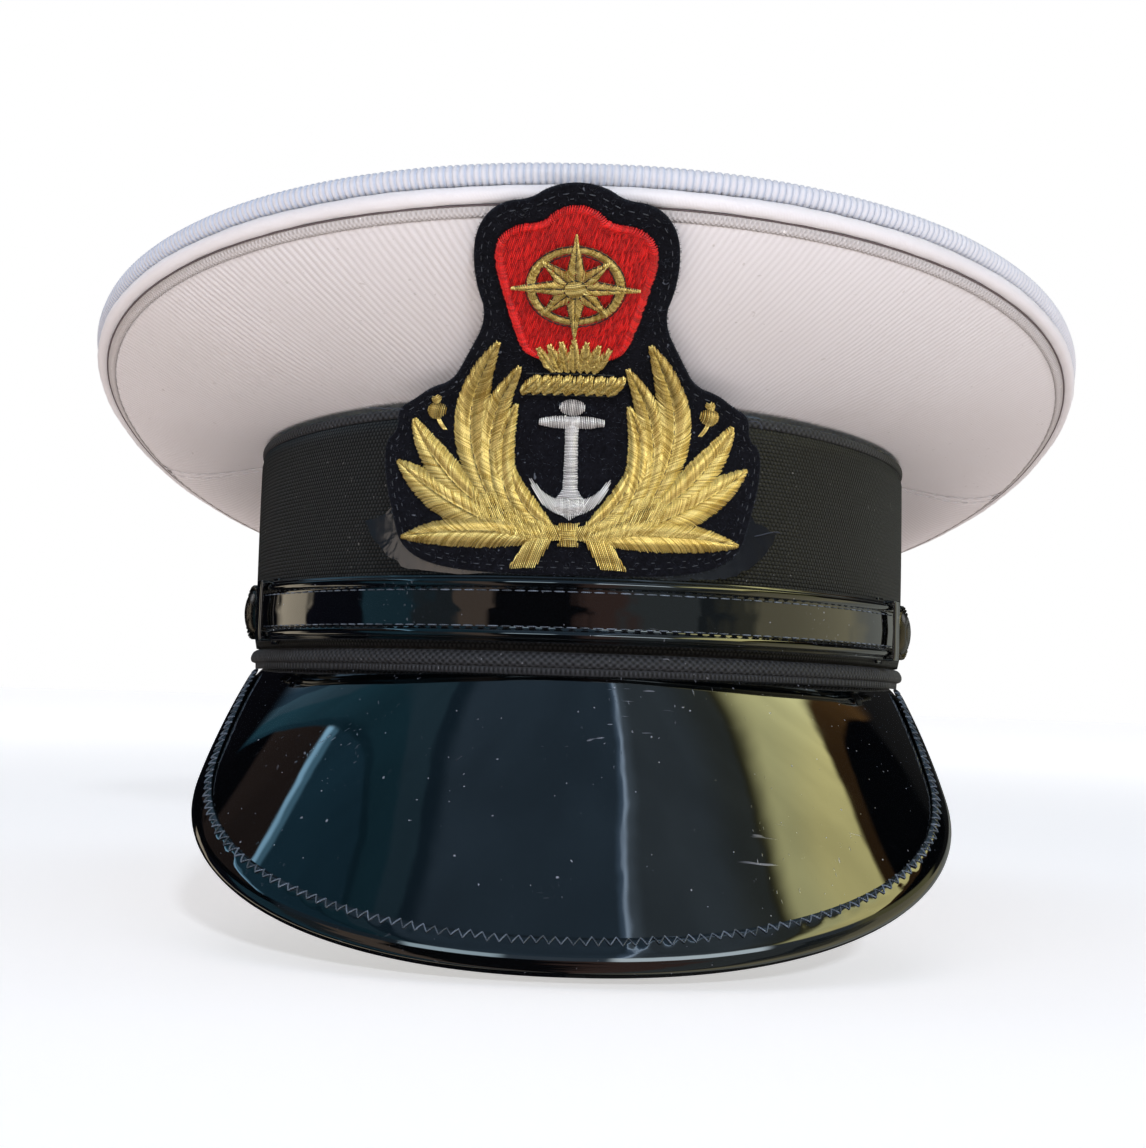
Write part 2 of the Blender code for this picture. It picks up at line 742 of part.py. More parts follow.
# Stay: a sprung board standing behind the crown front.
rows = crown_columns(-103.0, -77.0, 8, 10, 1, 8)
mesh, depth = sheet("front_stay", rows, False, (0, 0, -5000), 0.8, drop=FABRIC + 0.5)
thicken(place("front_stay", mesh, material("front_stay", (0.32, 0.27, 0.2), 0.8)), depth)

# Lining: skirt inside the band stiffener, then a shallow dome under the top.
lining_rows = []
for off_z in ((42.0, 1.0), (51.0, 1.0), (None, 0.965), (None, 0.86), (None, 0.66), (None, 0.4)):
    height, ratio = off_z
    row = []
    for phi in oval_angles()[::2]:
        x, y = oval(phi, LINING_OFF)
        z = height if height is not None else 52.0 + 10.0 * (1.0 - ratio ** 4)
        row.append((x * ratio, y * ratio, z))
    lining_rows.append(row)
mesh, depth = sheet("crown_lining", lining_rows, True, (0, 0, 5000), 0.5, pole=(0.0, 0.0, 62.0))
thicken(place("crown_lining", mesh, material("crown_lining", (0.7, 0.7, 0.72), 0.6)), depth)

mesh = cylinder_mesh("sweat_shield", 1.0, SHIELD_DEPTH, 28)
mesh.transform(Matrix.Diagonal((30.0, 42.0, 1.0, 1.0)))
shield = place("sweat_shield", mesh, material("sweat_shield", (0.85, 0.87, 0.88), 0.2, alpha=0.6),
               smooth=False)
shield.location = (0.0, 0.0, (SEAT_Z + 0.5 * SHIELD_DEPTH) * MM)

# Band: braid outside, fibre stiffener, sweatband inside, welts top and bottom.
mesh, depth = oval_wall("cap_band", BRAID[1], 2.1, 50.3, BRAID[1] - BRAID[0])
cap_band = thicken(place("cap_band", mesh, material("cap_band", BLACK, 0.8)), depth)
mesh, depth = oval_wall("band_stiffener", STIFFENER[1], -0.9, BAND_TOP - 0.2,
                        STIFFENER[1] - STIFFENER[0])
band_stiffener = thicken(place("band_stiffener", mesh,
                               material("band_stiffener", (0.2, 0.15, 0.1), 0.9)), depth)
mesh = oval_ring("band_top_welt", [(-1.0, 50.6), (0.0, 50.6), (0.1, BAND_TOP - 0.3),
                                   (-1.0, BAND_TOP)])
place("band_top_welt", mesh, material("band_top_welt", BLACK, 0.7))
mesh = oval_ring("band_bottom_welt", [(-1.0, -1.4), (0.4, -1.4), (0.8, -0.2), (0.55, 1.0),
                                      (-0.1, 1.7), (-1.0, 1.6)])
place("band_bottom_welt", mesh, material("band_bottom_welt", BLACK, 0.85))
mesh, depth = oval_wall("sweatband", SWEATBAND[1], -0.6, SWEATBAND_TOP,
                        SWEATBAND[1] - SWEATBAND[0])
thicken(place("sweatband", mesh, material("sweatband", (0.16, 0.08, 0.035), 0.5)), depth)
rope("sweatband_reed", [(*oval(phi, -3.55), -0.2) for phi in oval_angles()], 0.65, 0,
     material("sweatband_reed", (0.05, 0.04, 0.035), 0.4))

bow = [(0.0, 1.1), (2.2, 1.4), (8.6, 3.6), (9.4, 0.0), (8.6, -3.6), (2.2, -1.4), (0.0, -1.1)]
mesh = outline_mesh("sweatband_bow", mirrored(bow), -0.4, 0.4)
mesh.transform(Matrix.Scale(MM, 4))
bow = place("sweatband_bow", mesh, material("sweatband_bow", (0.1, 0.05, 0.03), 0.6), smooth=False)
bow.location = (0.0, (OVAL_HALF_LENGTH + SWEATBAND[0] - 1.5) * MM, 6.0 * MM)
bow.rotation_euler = (math.pi / 2.0, 0.0, 0.0)

# Visor: patent skin, board, underlining, and a binding folded over the edge.
mesh, depth = sheet("visor_skin", visor_rows(36, 3), False, (0, -3000, 3000), VISOR_SKIN)
thicken(place("visor_skin", mesh, material("visor_skin", BLACK, 0.06)), depth)
rows = visor_rows(36, 3, 0.015)
mesh, depth = sheet("visor_board", rows, False, (0, -3000, 3000), VISOR_BOARD,
                    drop=VISOR_SKIN + 0.25)
thicken(place("visor_board", mesh, material("visor_board", (0.18, 0.14, 0.1), 0.9)), depth)
rows = visor_rows(36, 3, 0.045)
mesh, depth = sheet("visor_underlining", rows, False, (0, -3000, 3000), VISOR_UNDER,
                    drop=VISOR_SKIN + VISOR_BOARD + 0.5)
thicken(place("visor_underlining", mesh, material("visor_underlining", (0.02, 0.05, 0.03), 0.7)),
        depth)
place("visor_binding", visor_binding_mesh(36), material("visor_binding", BLACK, 0.12))

# Chin strap: two leather layers that swing together about the side buttons.
button_spots = {}
for side in (LEFT, RIGHT):
    x, y = oval(side_phi(side, BUTTON_ANGLE), 0.5 * (STRAP_REAR[0] + STRAP_REAR[1]))
    button_spots[side] = (x, y, STRAP_Z)
strap_pivot = pivot_empty("chin_strap_pivot", (0.0, button_spots[LEFT][1], STRAP_Z))

ridge = STRAP_FRONT_HALF
section = [(STRAP_FRONT[0], -ridge), (3.7, -ridge), (STRAP_RIDGE, 0.5 - ridge),
           (STRAP_RIDGE, 1.3 - ridge), (STRAP_FRONT[1], 1.9 - ridge),
           (STRAP_FRONT[1], ridge - 1.9), (STRAP_RIDGE, ridge - 1.3),
           (STRAP_RIDGE, ridge - 0.5), (3.7, ridge), (STRAP_FRONT[0], ridge)]
rings = []
for phi in front_angles(STRAP_FRONT_END):
    rings.append([(*oval(phi, off), STRAP_Z + dz) for off, dz in section])
place("chin_strap_front", swept("chin_strap_front", rings, False),
      material("chin_strap_front", BLACK, 0.1), parent=strap_pivot)

TAB_STEPS = (-5.55, -5.1, -4.2, -2.6)          # rounded tab behind each button, mm
tab = [BUTTON_ANGLE + math.degrees(step / (R_SIDE + 1.65)) for step in TAB_STEPS]
tab_half = [math.sqrt(STRAP_REAR_HALF ** 2 - step ** 2) for step in TAB_STEPS]
angles = front_angles(BUTTON_ANGLE)
halves = [STRAP_REAR_HALF] * len(angles)
angles = [side_phi(RIGHT, a) for a in tab] + angles + [side_phi(LEFT, a) + 2.0 * math.pi
                                                      for a in reversed(tab)]
halves = tab_half + halves + tab_half[::-1]
rows = [[(*oval(phi, STRAP_REAR[1]), STRAP_Z + lift * half) for phi, half in zip(angles, halves)]
        for lift in (-1.0, 1.0)]
mesh, depth = sheet("chin_strap_rear", rows, False, (0, -5000, STRAP_Z),
                    STRAP_REAR[1] - STRAP_REAR[0])
chin_strap_rear = thicken(place("chin_strap_rear", mesh, material("chin_strap_rear", BLACK, 0.2),
                                parent=strap_pivot), depth)

SIDES = ((LEFT, "left"), (RIGHT, "right"))
for side, word in SIDES:
    # Keeper: a flat leather loop round both strap layers, sliding on the side arc.
    keeper_pivot = pivot_empty(word + "_keeper_pivot", (-side * ARC_SHIFT, 0.0, STRAP_Z),
                               parent=strap_pivot)
    phi = side_phi(side, KEEPER_ANGLE)
    out = Vector((math.cos(phi), math.sin(phi), 0.0))
    along = Vector((-math.sin(phi), math.cos(phi), 0.0))
    base = Vector((*oval(phi), STRAP_Z))
    low, high, reach = 0.45, 5.3, 7.15
    outer = [(low + 0.4, -reach), (high - 0.9, -reach), (high, 0.9 - reach), (high, reach - 0.9),
             (high - 0.9, reach), (low + 0.4, reach), (low, reach - 0.4), (low, 0.4 - reach)]
    low, high, reach = 1.0, 4.5, 6.35
    inner = [(low + 0.1, -reach), (high - 0.1, -reach), (high, 0.1 - reach), (high, reach - 0.1),
             (high - 0.1, reach), (low + 0.1, reach), (low, reach - 0.1), (low, 0.1 - reach)]
    rings = []
    for (oa, oz), (ia, iz) in zip(outer, inner):
        far = base + out * oa + Vector((0.0, 0.0, oz))
        near = base + out * ia + Vector((0.0, 0.0, iz))
        shift = along * KEEPER_WIDTH * 0.5
        rings.append([far - shift, far + shift, near + shift, near - shift])
    place(word + "_keeper", swept(word + "_keeper", rings, True),
          material(word + "_keeper", BLACK, 0.15), parent=keeper_pivot)

    # Button: domed cap with a rope-like rim and a shank through strap and band.
    phi = side_phi(side, BUTTON_ANGLE)
    out = Vector((math.cos(phi), math.sin(phi), 0.0))
    turn = (0.0, math.pi / 2.0, phi)
    foot = Vector((*oval(phi), STRAP_Z))
    button_pivot = pivot_empty(word + "_button_pivot", foot, turn)
    profile = [(0.0, 5.4), (1.0, 5.4), (2.6, 5.2), (4.3, 4.6), (BUTTON_R - 1.1, 3.8),
               (BUTTON_R - 0.5, 3.7), (BUTTON_R, 3.4), (BUTTON_R, 2.9), (BUTTON_R - 0.5, 2.6),
               (SHANK_R, 2.6), (SHANK_R, -4.3), (0.0, -4.3)]
    mesh = bpy.data.meshes.new(word + "_button")
    mesh.from_pydata([(r * MM, 0.0, h * MM) for r, h in profile],
                     [(i, i + 1) for i in range(len(profile) - 1)], [])
    button = bpy.data.objects.new(word + "_button", mesh)
    button.parent = button_pivot
    CAP.objects.link(button)
    mesh.materials.append(material(word + "_button", (0.05, 0.045, 0.04), 0.3, 0.6))
    spin = button.modifiers.new("turned", "SCREW")
    spin.steps = 16
    spin.render_steps = 16
    spin.use_merge_vertices = True
    spin.merge_threshold = 0.00001
    spin.use_smooth_shade = True
    eye = cutter(word + "_eye_cutter", foot - out * 3.3, (0.0, 0.0, 1.0), 0.55, 6.0, 12)
    cut(button, eye)

    # Split pin through the shank's eye, behind the stiffener.
    pin = bpy.data.objects.new(word + "_button_pin",
                               cylinder_mesh(word + "_button_pin", PIN_R, 10.0, 8))
    pin.data.materials.append(material(word + "_button_pin", (0.6, 0.58, 0.5), 0.35, 0.9))
    pin.parent = button_pivot
    pin.location = (0.0, 0.0, -3.3 * MM)
    pin.rotation_euler = (0.0, math.pi / 2.0, 0.0)
    CAP.objects.link(pin)

    # Clearance holes for the shank.
    hole = cutter(word + "_band_hole_cutter", foot - out * 1.2, out, 1.55, 5.0)
    cut(cap_band, hole)
    cut(band_stiffener, hole)
    slot = cutter(word + "_strap_hole_cutter", foot + out * 1.65, out, 1.65, 3.0)
    cut(chin_strap_rear, slot)

# Badge: felt patch and the pieces stitched on it, drawn flat and then bent.
patch_half = [(0.0, 87.0), (5.0, 86.0), (8.6, 83.3), (13.4, 82.9), (17.0, 80.2), (19.2, 75.0),
              (19.2, 66.0), (16.8, 56.8), (21.6, 46.5), (24.6, 40.6), (29.5, 39.0), (33.0, 36.4),
              (36.6, 34.6), (36.6, 29.6), (39.6, 27.4), (39.4, 20.0), (37.0, 11.0), (35.6, 6.2),
              (31.5, 2.6), (24.0, 0.5), (12.0, -0.3), (0.0, -0.4)]
mesh = badge_bend(outline_mesh("badge_patch", mirrored(patch_half), *PATCH))
place("badge_patch", mesh, material("badge_patch", (0.012, 0.012, 0.016), 0.95))

backing_half = [(0.0, 16.0), (20.0, 16.0), (33.0, 19.0), (41.5, 19.5), (43.2, 9.0), (41.0, 3.8),
                (34.0, 1.0), (22.0, -0.5), (0.0, -0.5)]
mesh = badge_bend(outline_mesh("badge_backing", mirrored(backing_half), -0.9, -0.3))
place("badge_backing", mesh, material("badge_backing", (0.03, 0.03, 0.035), 0.2))

red_half = [(0.0, 83.0), (3.6, 81.8), (6.0, 78.8), (10.6, 78.6), (14.0, 76.2), (14.9, 71.6),
            (13.4, 63.8), (11.2, 54.4), (9.2, 48.0), (0.0, 46.6)]
mesh = badge_bend(outline_mesh("badge_red_panel", mirrored(red_half), THREAD_FOOT, 2.7))
place("badge_red_panel", mesh, material("badge_red_panel", (0.65, 0.01, 0.02), 0.6))

mesh = badge_bend(outline_mesh("badge_star", star_outline(8, 11.5, 4.0, (0.0, 65.5)), 3.0, 4.0))
place("badge_star", mesh, material("badge_star", GOLD, 0.4, 0.8))

bar_half = [(0.0, 43.4), (7.2, 43.2), (9.4, 41.6), (9.4, 40.0), (7.2, 38.4), (0.0, 38.2)]
mesh = badge_bend(outline_mesh("badge_cord_bar", mirrored(bar_half), THREAD_FOOT, 3.3))
place("badge_cord_bar", mesh, material("badge_cord_bar", GOLD, 0.4, 0.8))

anchor_half = [(0.0, 36.2), (2.3, 35.2), (2.3, 33.2), (1.2, 32.4), (6.2, 32.4), (6.2, 30.4),
               (1.3, 30.2), (1.5, 17.2), (4.6, 17.8), (6.9, 20.2), (7.9, 23.4), (9.0, 19.4),
               (8.0, 16.4), (5.2, 13.6), (1.8, 12.4), (0.0, 11.2)]
mesh = badge_bend(outline_mesh("badge_anchor", mirrored(anchor_half), THREAD_FOOT, 3.1))
place("badge_anchor", mesh, material("badge_anchor", (0.62, 0.62, 0.64), 0.4, 0.8))

tie = [(-1.8, 5.2), (1.8, 5.2), (1.8, 10.0), (-1.8, 10.0)]
mesh = badge_bend(outline_mesh("badge_tie", tie, THREAD_FOOT, 3.7))
place("badge_tie", mesh, material("badge_tie", GOLD, 0.4, 0.8))

# Each spray: base, midrib bend, tip (mm right of centre, mm up) and width.
LEAVES = (
    ((5.0, 7.3), (20.0, 9.0), (34.5, 7.0), 6.2),
    ((15.5, 9.8), (26.0, 14.0), (36.0, 22.8), 7.0),
    ((16.0, 12.0), (27.5, 19.5), (32.6, 32.4), 6.4),
    ((15.5, 14.0), (25.5, 31.0), (14.6, 51.6), 7.0),
    ((13.0, 13.0), (20.5, 27.0), (10.4, 45.4), 6.0),
    ((9.5, 10.5), (17.5, 21.0), (11.0, 35.6), 5.4),
    ((3.0, 8.8), (10.8, 12.0), (12.4, 22.8), 4.8),
)
for side, word in SIDES:
    pieces = []
    stem = [(2.1, 6.4), (8.0, 6.6), (17.5, 9.0), (19.0, 15.5), (14.5, 15.0), (2.1, 8.9)]
    tail = [(3.4, 7.0), (8.4, 0.5), (12.4, 0.9), (8.0, 7.0)]
    pieces.append(outline_mesh("stem", [(side * u, v) for u, v in stem], THREAD_FOOT, 2.6))
    pieces.append(outline_mesh("tail", [(side * u, v) for u, v in tail], THREAD_FOOT - 0.02, 2.9))
    for index, (base, mid, tip, width) in enumerate(LEAVES):
        spots = [(side * u, v) for u, v in (base, mid, tip)]
        low = THREAD_FOOT + 0.004 * index
        pieces.append(leaf_mesh(*spots, width, low, 3.4 - 0.03 * index))
    name = "badge_wreath_" + word
    mesh = badge_bend(united(name, pieces), levels=0)
    place(name, mesh, material(name, GOLD, 0.4, 0.8))
    berry = []
    for i in range(12):
        a = 2.0 * math.pi * i / 12
        berry.append((side * 27.6 + 2.1 * math.cos(a), 34.2 + 2.3 * math.sin(a)))
    name = "badge_berry_" + word
    mesh = badge_bend(outline_mesh(name, berry, THREAD_FOOT, 3.2))
    place(name, mesh, material(name, GOLD, 0.4, 0.8))

# The frame's origin is the middle of the sweat shield's underside, where a stand carries the cap.
origin = bpy.data.objects.new("frame_origin", None)
CAP.objects.link(origin)
origin.location = (0.0, 0.0, -SEAT_Z * MM)
for obj in list(CAP.objects) + list(CUTTERS.objects):
    if obj.parent is None and obj is not origin:
        obj.parent = origin

tris = 0
graph = bpy.context.evaluated_depsgraph_get()
for obj in CAP.objects:
    if obj.type in {"MESH", "CURVE"}:
        shape = obj.evaluated_get(graph).to_mesh()
        tris += sum(len(p.vertices) - 2 for p in shape.polygons)
print("triangles", tris)
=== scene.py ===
"""Looks of the military peaked cap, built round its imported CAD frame.

Front faces -Y, +X is the wearer's left, +Z is up.  Shapes are worked out in
millimetres from the middle of the band's lower edge, which lies SEAT_Z below
the frame's origin, and written in metres.
"""
import bisect
import json
import math
import random

import bmesh
import bpy
import numpy as np
from mathutils import Matrix, Vector

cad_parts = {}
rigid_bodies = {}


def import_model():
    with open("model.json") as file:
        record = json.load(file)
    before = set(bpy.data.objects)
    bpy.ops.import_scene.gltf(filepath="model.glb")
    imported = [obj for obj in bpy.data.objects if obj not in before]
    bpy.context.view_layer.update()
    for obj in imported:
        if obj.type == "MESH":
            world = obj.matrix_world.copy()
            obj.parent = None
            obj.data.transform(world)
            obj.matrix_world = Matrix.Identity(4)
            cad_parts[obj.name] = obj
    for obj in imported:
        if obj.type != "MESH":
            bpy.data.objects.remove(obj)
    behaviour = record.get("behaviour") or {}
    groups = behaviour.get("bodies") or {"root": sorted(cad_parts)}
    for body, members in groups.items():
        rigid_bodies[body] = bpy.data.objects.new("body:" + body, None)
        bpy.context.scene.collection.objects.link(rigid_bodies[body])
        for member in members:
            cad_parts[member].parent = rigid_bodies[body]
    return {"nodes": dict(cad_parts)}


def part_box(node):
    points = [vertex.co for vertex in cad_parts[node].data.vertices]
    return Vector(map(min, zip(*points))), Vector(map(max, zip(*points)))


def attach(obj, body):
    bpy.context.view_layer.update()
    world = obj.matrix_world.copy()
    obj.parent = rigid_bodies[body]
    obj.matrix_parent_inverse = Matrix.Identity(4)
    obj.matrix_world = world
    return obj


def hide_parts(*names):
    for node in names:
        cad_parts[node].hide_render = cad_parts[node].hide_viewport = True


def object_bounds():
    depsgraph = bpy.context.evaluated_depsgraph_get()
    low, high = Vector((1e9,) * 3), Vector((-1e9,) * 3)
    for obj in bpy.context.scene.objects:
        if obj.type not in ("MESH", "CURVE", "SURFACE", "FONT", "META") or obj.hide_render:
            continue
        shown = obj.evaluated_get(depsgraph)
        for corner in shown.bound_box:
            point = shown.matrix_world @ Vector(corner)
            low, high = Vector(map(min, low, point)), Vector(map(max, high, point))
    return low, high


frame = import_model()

CAD_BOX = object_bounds()
MM = 0.001
UP = Vector((0.0, 0.0, 1.0))
SEAT_Z = 60.0


def box_mm(node):
    """A node's corners in millimetres from the middle of the band's lower edge."""
    low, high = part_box(node)
    return low / MM + UP * SEAT_Z, high / MM + UP * SEAT_Z


def framed(point):
    """Millimetres from the band's lower edge to metres in the frame."""
    return (Vector(point) - UP * SEAT_Z) * MM


# ------------------------------------------------- sizes, read from the frame
BAND_LOW, BAND_HIGH = box_mm("cap_band")
OVAL_HALF_WIDTH = BAND_HIGH.x
OVAL_HALF_LENGTH = BAND_HIGH.y
ARC_SHIFT = 20.0 + math.sqrt(200.0)            # arc centres of the head oval
R_SIDE = OVAL_HALF_WIDTH + ARC_SHIFT
R_FRONT = OVAL_HALF_LENGTH - ARC_SHIFT
JOIN = math.sqrt(0.5)
STRAP_LOW, STRAP_HIGH = box_mm("chin_strap_front")
STRAP_Z = 0.5 * (STRAP_LOW.z + STRAP_HIGH.z)
STRAP_HALF = 0.5 * (STRAP_HIGH.z - STRAP_LOW.z)

# Crown rim, a tilted rounded ellipse.
PIPING_R = 1.6                                 # slimmer than the CAD bead, as in the photo
PIPING_AT = (-0.25, -1.65)                     # (outward, upward) from the rim ellipse
ROLL_R = 2.0
ROLL_AT = (-0.2, 2.3)
CAD_PIPING_REACH = 1.8                         # the CAD bead stands this far past the rim
RIM_HALF_WIDTH = box_mm("crown_piping")[1].x - CAD_PIPING_REACH
RIM_HALF_LENGTH = 138.5
RIM_CENTRE_Y = -7.2
RIM_CENTRE_Z = 59.2
RIM_TILT = math.radians(11.9)
RIM_POWER = 2.12
RIM_SADDLE = 2.2
QUARTER_EDGE = (-2.6, -4.3)
HEM_TURN = (-1.25, -3.2)                       # the hem presses on the piping from behind
HEM_END = (-2.1, -2.3)
# Dark cord in the groove under the piping, put there as painted shade.
SHADE_CORD = (-1.10, -3.22)
SHADE_CORD_R = 0.2
TAPE_OVERLAP = 0.6                             # how far the tape laps over the wall
TOP_EDGE = (-3.0, 2.7)
QUARTER_FOOT = (-1.4, 53.8)
SEAM_HALF_ANGLE = 0.17
SIDE_SEAM = 9.0
CLOTH = 0.8
MOST_SAG = 3.0                                 # how far the top panel may move
HANG_FRAMES = 16
PINNED_RINGS = 9

# Visor.
VISOR_ROOT_OFF = -0.5
VISOR_ROOT_Z = -2.7
VISOR_ROOT_ANGLE = 22.5
EDGE_HALF_WIDTH = 78.9
EDGE_LENGTH = 105.8
EDGE_SHOULDER = 50.0
EDGE_POWER = 2.2
EDGE_START = (-42.0, -1.0)
EDGE_SLOPE = math.radians(31.3)
EDGE_ROOT_HALF = 75.2
EDGE_END = 11.0
VISOR_BULGE = 1.6
VISOR_SKIN = 0.8
VISOR_DEPTH = 3.0                              # skin, board and underlining together
BINDING_FLAP = 4.8                             # narrower than the CAD flap, as in the photo
BINDING_UNDER = 5.0

# Strap, keepers and buttons.
STRAP_FRONT_END = 27.6                         # degrees off the side
KEEPER_ANGLE = 28.9
KEEPER_WIDTH = 3.6
KEEPER_INNER = 0.55                            # offsets from the oval
KEEPER_OUTER = 5.25
KEEPER_REACH = 6.98                            # half the loop's height
BUTTON_ANGLE = 24.0
BUTTON_R = 6.5

# Badge, a flat pattern bent over band and crown.
BADGE_U = -2.3
BADGE_Y = -105.5
BADGE_FOOT_Z = 17.4
BADGE_CORNER_Z = 50.5
BADGE_LEAN = math.radians(51.9)
BADGE_BEND_R = 20.0
BADGE_WRAP_R = 100.0
THREAD_FOOT = 1.7

SIDES = ((1.0, "left"), (-1.0, "right"))
RNG = random.Random(7)


# ------------------------------------------------------------------- meshes
def finish_piece(obj, body, nodes=()):
    """Ride the piece on its body and let it stand for CAD nodes."""
    bpy.context.scene.collection.objects.link(obj)
    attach(obj, body)
    if nodes:
        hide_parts(*nodes)
    return obj


def mesh_piece(name, points, faces, mat, corner_uvs=None, body="cap", nodes=(), closed=False,
               facing=None):
    """Object from millimetre points; corner_uvs holds one (u, v) per face corner."""
    mesh = bpy.data.meshes.new(name)
    coords = (np.asarray(points, dtype=np.float64) - (0.0, 0.0, SEAT_Z)) * MM
    mesh.from_pydata(coords.tolist(), [], faces)
    if corner_uvs is not None:
        layer = mesh.uv_layers.new(name="cloth")
        layer.data.foreach_set("uv", np.asarray(corner_uvs, dtype=np.float32).ravel())
    if closed or facing is not None:
        work = bmesh.new()
        work.from_mesh(mesh)
        bmesh.ops.recalc_face_normals(work, faces=work.faces)
        if closed and work.calc_volume(signed=True) < 0.0:
            bmesh.ops.reverse_faces(work, faces=work.faces)
        if facing is not None:
            goal = framed(facing)
            score = sum(f.normal.dot(goal - f.calc_center_median()) for f in work.faces)
            if score < 0.0:
                bmesh.ops.reverse_faces(work, faces=work.faces)
        work.to_mesh(mesh)
        work.free()
    mesh.polygons.foreach_set("use_smooth", [True] * len(mesh.polygons))
    mesh.materials.append(mat)
    return finish_piece(bpy.data.objects.new(name, mesh), body, nodes)


def loft(name, rows, mat, uv=None, close_rows=False, close_cols=False, caps=False, **kw):
    """Skin rows of points.  uv(i, j) gives a corner's cloth coordinate, wrapped or not."""
    count, cols = len(rows), len(rows[0])
    points = [p for row in rows for p in row]
    faces, corners = [], []
    for i in range(count if close_rows else count - 1):
        for j in range(cols if close_cols else cols - 1):
            a, b = i * cols, ((i + 1) % count) * cols
            k = (j + 1) % cols
            faces.append((a + j, a + k, b + k, b + j))
            if uv:
                corners += [uv(i, j), uv(i, j + 1), uv(i + 1, j + 1), uv(i + 1, j)]
    if caps:
        for start in (0, (count - 1) * cols):
            faces.append(tuple(range(start, start + cols)))
            if uv:
                corners += [uv(0, j) for j in range(cols)]
    return mesh_piece(name, points, faces, mat, corners if uv else None, **kw)


def thicken(obj, depth):
    solid = obj.modifiers.new("thickness", "SOLIDIFY")
    solid.thickness = depth * MM
    solid.offset = -1.0
    return obj


def smooth_loop(points, steps):
    """Closed Catmull-Rom curve through 2D points."""
    out = []
    count = len(points)
    for i in range(count):
        p0, p1, p2, p3 = (Vector(points[(i + k) % count]) for k in (-1, 0, 1, 2))
        for j in range(steps):
            s = j / steps
            out.append(0.5 * (2 * p1 + (p2 - p0) * s + (2 * p0 - 5 * p1 + 4 * p2 - p3) * s * s
                              + (3 * p1 - p0 - 3 * p2 + p3) * s ** 3))
    return out


def rounded(points, passes=2):
    """Corner-cutting of a closed 2D outline."""
    for _ in range(passes):
        cut = []
        for p, q in zip(points, points[1:] + points[:1]):
            cut.append((0.75 * p[0] + 0.25 * q[0], 0.75 * p[1] + 0.25 * q[1]))
            cut.append((0.25 * p[0] + 0.75 * q[0], 0.25 * p[1] + 0.75 * q[1]))
        points = cut
    return points


def mirrored(half):
    """Close a right-hand outline (top to bottom) with its mirror image."""
    inner = [p for p in half if p[0] > 1e-6]
    ends = [p for p in half if p[0] <= 1e-6]
    return [ends[0]] + inner + [ends[-1]] + [(-u, v) for u, v in reversed(inner)]


def circle(centre, radius, count, height=None):
    """Corners of a circle, or of an ellipse when a second radius is given."""
    steps = [2 * math.pi * i / count for i in range(count)]
    rise = radius if height is None else height
    return [(centre[0] + radius * math.cos(a), centre[1] + rise * math.sin(a)) for a in steps]


def locate(run, want):
    """Index and share of the stretch of a running length that holds want."""
    i = min(max(bisect.bisect_right(run, want) - 1, 0), len(run) - 2)
    return i, (want - run[i]) / max(1e-9, run[i + 1] - run[i])


def flat_runs(points):
    """Running length at each of a row of flat points."""
    run = [0.0]
    for p, q in zip(points[:-1], points[1:]):
        run.append(run[-1] + math.hypot(q[0] - p[0], q[1] - p[1]))
    return run


class Threads:
    """Many small tubes gathered in one mesh; each thread gets its own tone in uv.y."""

    def __init__(self, sides=4):
        self.sides = sides
        self.points, self.faces, self.corners = [], [], []

    def add(self, path, radius, normal, taper=0.55):
        """Tube along a path of Vectors; normal(i) is the surface normal at point i."""
        sides, base, tone = self.sides, len(self.points), RNG.random()
        count = len(path)
        run, dist = [0.0], 0.0
        for p, q in zip(path[:-1], path[1:]):
            dist += (q - p).length
            run.append(dist)
        for i, spot in enumerate(path):
            along = path[min(i + 1, count - 1)] - path[max(i - 1, 0)]
            across = along.cross(normal(i)).normalized()
            lift = across.cross(along).normalized()
            size = radius * (taper if i in (0, count - 1) else 1.0)
            for k in range(sides):
                a = 2.0 * math.pi * (k + 0.5) / sides
                self.points.append(spot + (across * math.cos(a) + lift * math.sin(a)) * size)
        for i in range(count - 1):
            for k in range(sides):
                a, b, n = base + i * sides, base + (i + 1) * sides, (k + 1) % sides
                self.faces.append((a + k, b + k, b + n, a + n))
                self.corners += [(run[i], tone), (run[i + 1], tone), (run[i + 1], tone),
                                 (run[i], tone)]
        for start in (base, base + (count - 1) * sides):
            ring = tuple(range(start, start + sides))
            self.faces.append(ring if start > base else ring[::-1])
            self.corners += [(0.0, tone)] * sides

    def piece(self, name, mat, **kw):
        return mesh_piece(name, self.points, self.faces, mat, self.corners, **kw)


# ------------------------------------------------------------ cap surfaces
def oval(phi, off=0.0):
    """Point of the head oval whose outward normal points along phi."""
    nx, ny = math.cos(phi), math.sin(phi)
    if abs(nx) >= JOIN - 1e-9:
        cx, cy, radius = -math.copysign(ARC_SHIFT, nx), 0.0, R_SIDE
    else:
        cx, cy, radius = 0.0, math.copysign(ARC_SHIFT, ny), R_FRONT
    return cx + (radius + off) * nx, cy + (radius + off) * ny


def oval_run(phi):
    """Length along the head oval from the front centre, signed, for phi near -90 deg."""
    turn = (math.degrees(phi) + 90.0 + 180.0) % 360.0 - 180.0
    side = math.copysign(1.0, turn)
    turn = abs(turn)
    front = math.radians(min(turn, 45.0)) * R_FRONT
    flank = math.radians(min(max(turn - 45.0, 0.0), 90.0)) * R_SIDE
    back = math.radians(max(turn - 135.0, 0.0)) * R_FRONT
    return side * (front + flank + back)


def side_phi(side, degrees):
    if side > 0:
        return math.radians(-degrees)
    return math.radians(180.0 + degrees)


def signed_power(value, power):
    return math.copysign(abs(value) ** power, value)


